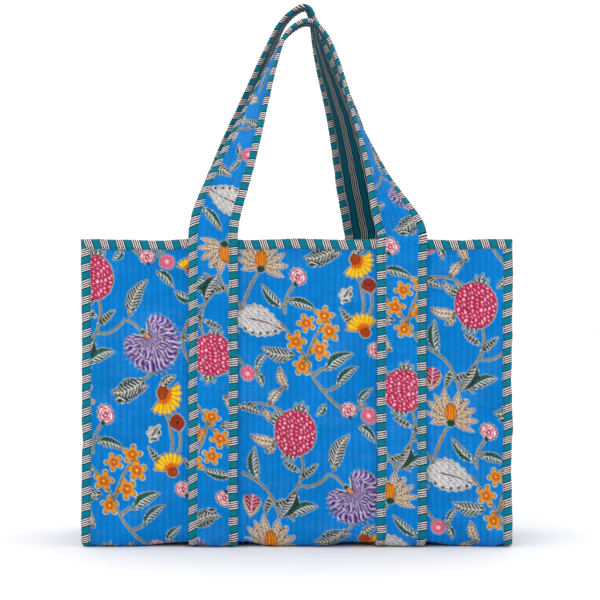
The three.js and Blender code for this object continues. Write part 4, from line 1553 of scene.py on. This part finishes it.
def arch_outward(strap, arch):
    """Outward directions along a handle, whose face turns sideways on its way to the peak."""
    rise = np.clip((arch[:, 2] - FOOT_HEIGHT) / strap["height"], 0, 1)
    tangent = np.gradient(arch, axis=0)
    power = np.where(tangent[:, 2] > 0, strap["legs"][0][0], strap["legs"][1][0])
    twist = math.pi / 2 * (1 - (1 - rise) ** power)
    tangent = direction(tangent)
    outward = direction(np.stack([-tangent[:, 2], np.zeros(len(arch)), tangent[:, 0]], axis=1))
    forward = np.cross(tangent, outward)
    return forward * np.cos(twist)[:, None] + outward * np.sin(twist)[:, None]


def whole_line(strap):
    """A whole strap's middle line, its outward directions, wall runs and heights above the handle's foot."""
    left, left_out, left_run = leg_line(strap, -1)
    right, right_out, right_run = leg_line(strap, 1)
    arch = handle_line(strap)
    line = np.concatenate([left[:-1], arch, right[::-1][1:]])
    outs = np.concatenate([left_out[:-1], arch_outward(strap, arch), right_out[::-1][1:]])
    runs = np.concatenate([left_run[:-1], np.full(len(arch), FOOT_RUN), right_run[::-1][1:]])
    rise = arch[:, 2] - FOOT_HEIGHT
    above = np.concatenate([np.zeros(len(left) - 1), rise, np.zeros(len(right) - 1)])
    return line, outs, runs, above


def strap_run(strap, cell):
    """Stations along a whole strap: point, across, out, length, wall run, share of the wall's own move."""
    line, outs, runs, above = whole_line(strap)
    steps = lengths_along(line)
    at = grid_of(0, steps[-1], cell)
    width = max(2, round(3 / cell))
    points, outs = (softened(picked(at, steps, values), width) for values in (line, outs))
    points[0], points[-1] = line[0], line[-1]
    tangent = direction(np.gradient(points, axis=0))
    outs = direction(outs - tangent * (outs * tangent).sum(axis=1, keepdims=True))
    across = np.cross(tangent, outs)
    above, runs = (np.interp(at, steps, values) for values in (above, runs))
    free = smoothstep((above - 15) / 60)[:, None]
    drift = 1.3 * np.sin(at / 37 + strap["height"])[:, None] * across
    points = points + free * (drift + 0.9 * np.sin(at / 29 + 2)[:, None] * outs)
    runs = np.clip(runs, 0, WALL_RUN / 2)
    hand = hand_of(strap)
    if hand < 0:
        half_turn = np.array([-1, -1, 1])
        points, across, outs = points * half_turn, across * half_turn, outs * half_turn
        runs = WALL_RUN - runs
    on_left = at < steps[-1] / 2
    foot = np.where(on_left, strap_center(strap, -hand), strap_center(strap, hand))
    return {
        "at": at, "point": points, "across": across, "out": outs, "run": runs, "above": above,
        "home": np.where(above > 0, foot, points[:, 0]), "heading": np.where(on_left, 1.0, -1.0) * hand,
        "follow": np.exp(-((above / 60) ** 2)),
    }


def on_strap(stations, u, level):
    """Points across a strap at a distance from its middle and a level out from its inner face."""
    u, level = np.broadcast_arrays(u, level)
    points = stations["point"][:, None] + stations["across"][:, None] * u[..., None]
    points = points + stations["out"][:, None] * level[..., None]
    x = stations["home"][:, None] + stations["heading"][:, None] * u
    move = wall_move(x, np.broadcast_to(stations["run"][:, None], x.shape))
    return points + move * stations["follow"][:, None, None]


def strap_cloth(strap, stations, cell, name, face):
    """The printed face, or the striped backing, with its quilted channels."""
    us = grid_of(-CLOTH_EDGE, CLOTH_EDGE, cell)
    at = stations["at"]
    seed = 500 + strap["turn"] + (0 if face else 50)
    height, groove = quilting(us, at, cell, seed, 0.6)
    free = smoothstep((BINDING_INNER - np.abs(us)) / 4)[None, :] * np.ones((len(at), 1))
    crown = np.clip(1 - (us / CLOTH_EDGE) ** 2, 0, 1)[None, :]
    hanging = smoothstep(stations["above"] / 20)[:, None]
    if face:
        level = 3.35 + 0.45 * crown + height * free * 0.8
        color = cloth_color(*strap_print(strap, us, at))
        paint = with_painted_shade_and_wear(color, groove * free, height * free, cell, seed + 5)
        material = PRINTED
    else:
        level = 0.75 - 0.35 * crown - height * free * (0.15 + 0.5 * hanging)
        level = np.maximum(level, 0.12 - 0.5 * hanging)
        paint, material = None, SHADED_LINING
    points = on_strap(stations, us[None, :], level)
    run = paired(*np.meshgrid(us, at))
    quads = grid_quads(len(at), len(us), flip=face)
    return make_piece(name, points, quads, material, run=run, paint=paint)


def strap_print(strap, us, at):
    """Where the strap's face lies on the printed cloth, which was cut a little off the straight."""
    u, length = np.meshgrid(us, at)
    low, high, peak = strap["print_marks"]
    askew = length - low + (low - high) * smoothstep((length - peak + 60) / 120)
    return RASPBERRY[0] - u - 2 - 0.148 * askew, strap["print_at"] - strap["print_scale"] * length


BINDING_INNER = STRAP_HALF - BINDING_WIDTH


def strap_binding(strap, stations, name, side):
    """The strip folded over one long edge of a strap, and its lines of stitching."""
    at = stations["at"]
    cell = at[1] - at[0]
    seed = 600 + strap["turn"] + side
    u, level, line, width = puffed(STRAP_PROFILE, len(at), cell, seed, calm_below=1.2)
    u = u + 0.3 * rumple((len(at), 1), cell, 18, 1, seed + 20)
    points = on_strap(stations, side * u, level)
    slant = -0.27 if side > 0 else -0.6 + 0.3 * smoothstep((at[:, None] - at[-1] / 2 + 150) / 300)
    cut = at[:, None] + 7 * side + slant * side * width[None, :]
    quads = grid_quads(len(at), len(line), flip=side > 0)
    piece = make_piece(name, points, quads, BINDING, run=paired(cut, side * width[None, :]))
    return piece, stitch_rows(points, slice(3, -3))


def strap_padding(stations, name):
    stations = {key: values[::2] for key, values in stations.items()}
    us = grid_of(-STRAP_HALF + 2.5, STRAP_HALF - 2.5, PAD_CELL)
    outer, inner = (on_strap(stations, us[None, :], level) for level in STRAP_PAD_LEVELS)
    return add_pad(name, outer, inner, paired(*np.meshgrid(us, stations["at"])), flip=True)


def bend_over_rim(piece):
    """Bakes the piece's world placement into its mesh."""
    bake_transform(piece)


def dress(piece, slot, *nodes):
    """Rides a piece on the bag's body, and hides the CAD nodes that it stands for. Its slot is not used."""
    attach(piece, "bag_body")
    if nodes:
        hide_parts(*nodes)
    return piece


def build_body():
    padding = dress(add_wall_padding(), "batting", "batting_wrap")
    outer = dress(add_outer_cloth(), "floral_print", "outer_wrap")
    inside = dress(add_wall_lining(), "striped_lining", "lining_wrap")
    for side, label in ((-1, "left"), (1, "right")):
        node = "gusset_" + label
        pad = dress(add_gusset_padding(side, label), "batting", node + "_batting")
        cloth = dress(add_gusset_cloth(side, label), "floral_print", node + "_outer")
        lining = dress(add_gusset_lining(side, label), "striped_lining", node + "_lining")
        binding = dress(add_seam_binding(side, label), "striped_binding", "seam_binding_" + label)
    rim = dress(add_rim_binding(), "striped_binding", "rim_binding")
    dress(add_stitches("body_stitches", STITCH_LINES), "striped_binding")


def strap_nodes(label, part):
    """The handle's and the lower straps' nodes that one piece of a strap stands for."""
    sides = {"binding_outer": ("left", "right"), "binding_inner": ("right", "left")}.get(part)
    if sides:
        lower = ["left_binding_" + sides[0], "right_binding_" + sides[1]]
    else:
        lower = ["left_" + part, "right_" + part]
    return [label + "_handle_" + part, *("lower_strap_" + name for name in lower)]


def declare_strap(part):
    """Does nothing, for any part."""
    if part == "batting":
        return


def build_strap(strap, cell=1.0):
    """One whole strap: half under the bag, up one leg, over its handle, and down the other leg."""
    stations = strap_run(strap, cell)
    set_print(strap, stations)
    label = strap["name"]
    name = label + "_strap_"
    pieces = [
        (strap_padding(stations, name + "padding"), "batting", "batting"),
        (strap_cloth(strap, stations, cell, name + "face", True), "face", "floral_print"),
        (strap_cloth(strap, stations, cell, name + "backing", False), "backing", "striped_lining"),
    ]
    lines = []
    for side, part in ((1, "binding_inner"), (-1, "binding_outer")):
        piece, rows = strap_binding(strap, stations, name + part, side)
        pieces.append((piece, part, "striped_binding"))
        lines += rows
    for piece, part, slot in pieces:
        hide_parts(*strap_nodes(label, part))
        declare_strap(part)
        bend_over_rim(piece)
    stitches = add_stitches(name + "stitches", lines)
    bend_over_rim(stitches)


def set_print(strap, stations):
    """Lays the printed strip so that a fruit comes where the photographed strap shows one on each leg."""
    rising = stations["point"][:, 2]
    at = stations["at"]
    middle = at[-1] / 2
    left_at = at[(at < middle) & (rising > 201)][0]
    right_at = at[(at > middle) & (rising > 165)][-1]
    strap["print_scale"] = 3 * ROWS * DOT / (right_at - left_at)
    strap["print_at"] = RASPBERRY[1] + strap["print_scale"] * right_at
    strap["print_marks"] = left_at, right_at, middle


def add_floor():
    """A plain pale floor, far wider than the picture."""
    mesh = bpy.data.meshes.new("floor")
    mesh.from_pydata([(-30, -12, 0), (30, -12, 0), (30, 48, 0), (-30, 48, 0)], [], [(0, 1, 2, 3)])
    floor = bpy.data.objects.new("floor", mesh)
    bpy.context.scene.collection.objects.link(floor)
    material = bpy.data.materials.new("pale_floor")
    material.use_nodes = True
    shader = next(n for n in material.node_tree.nodes if n.type == "BSDF_PRINCIPLED")
    shader.inputs["Base Color"].default_value = (0.94, 0.94, 0.94, 1)
    shader.inputs["Roughness"].default_value = 0.9
    mesh.materials.append(material)


def add_light(name, place, size, energy, aim=(0, 0, 0.28)):
    data = bpy.data.lights.new(name, "AREA")
    data.shape, data.size, data.energy = "SQUARE", size, energy
    light = bpy.data.objects.new(name, data)
    light.location = place
    light.rotation_euler = (Vector(aim) - Vector(place)).to_track_quat("-Z", "Y").to_euler()
    bpy.context.scene.collection.objects.link(light)


def add_studio():
    world = bpy.data.worlds.new("studio")
    world.use_nodes = True
    background = next(n for n in world.node_tree.nodes if n.type == "BACKGROUND")
    background.inputs["Color"].default_value = (1, 1, 1, 1)
    background.inputs["Strength"].default_value = 1.08
    bpy.context.scene.world = world
    bpy.context.scene.view_settings.view_transform = "Standard"
    add_light("key", (-1.3, -2.4, 2.3), 1.6, 17)
    add_light("fill", (1.9, -2.2, 1.2), 1.8, 2)
    add_light("top", (0.2, 0.6, 2.8), 2.0, 6)
    add_light("rear", (0.8, 2.6, 1.8), 1.8, 4)


build_body()
build_strap(FRONT)
build_strap(BACK)
add_floor()
add_studio()
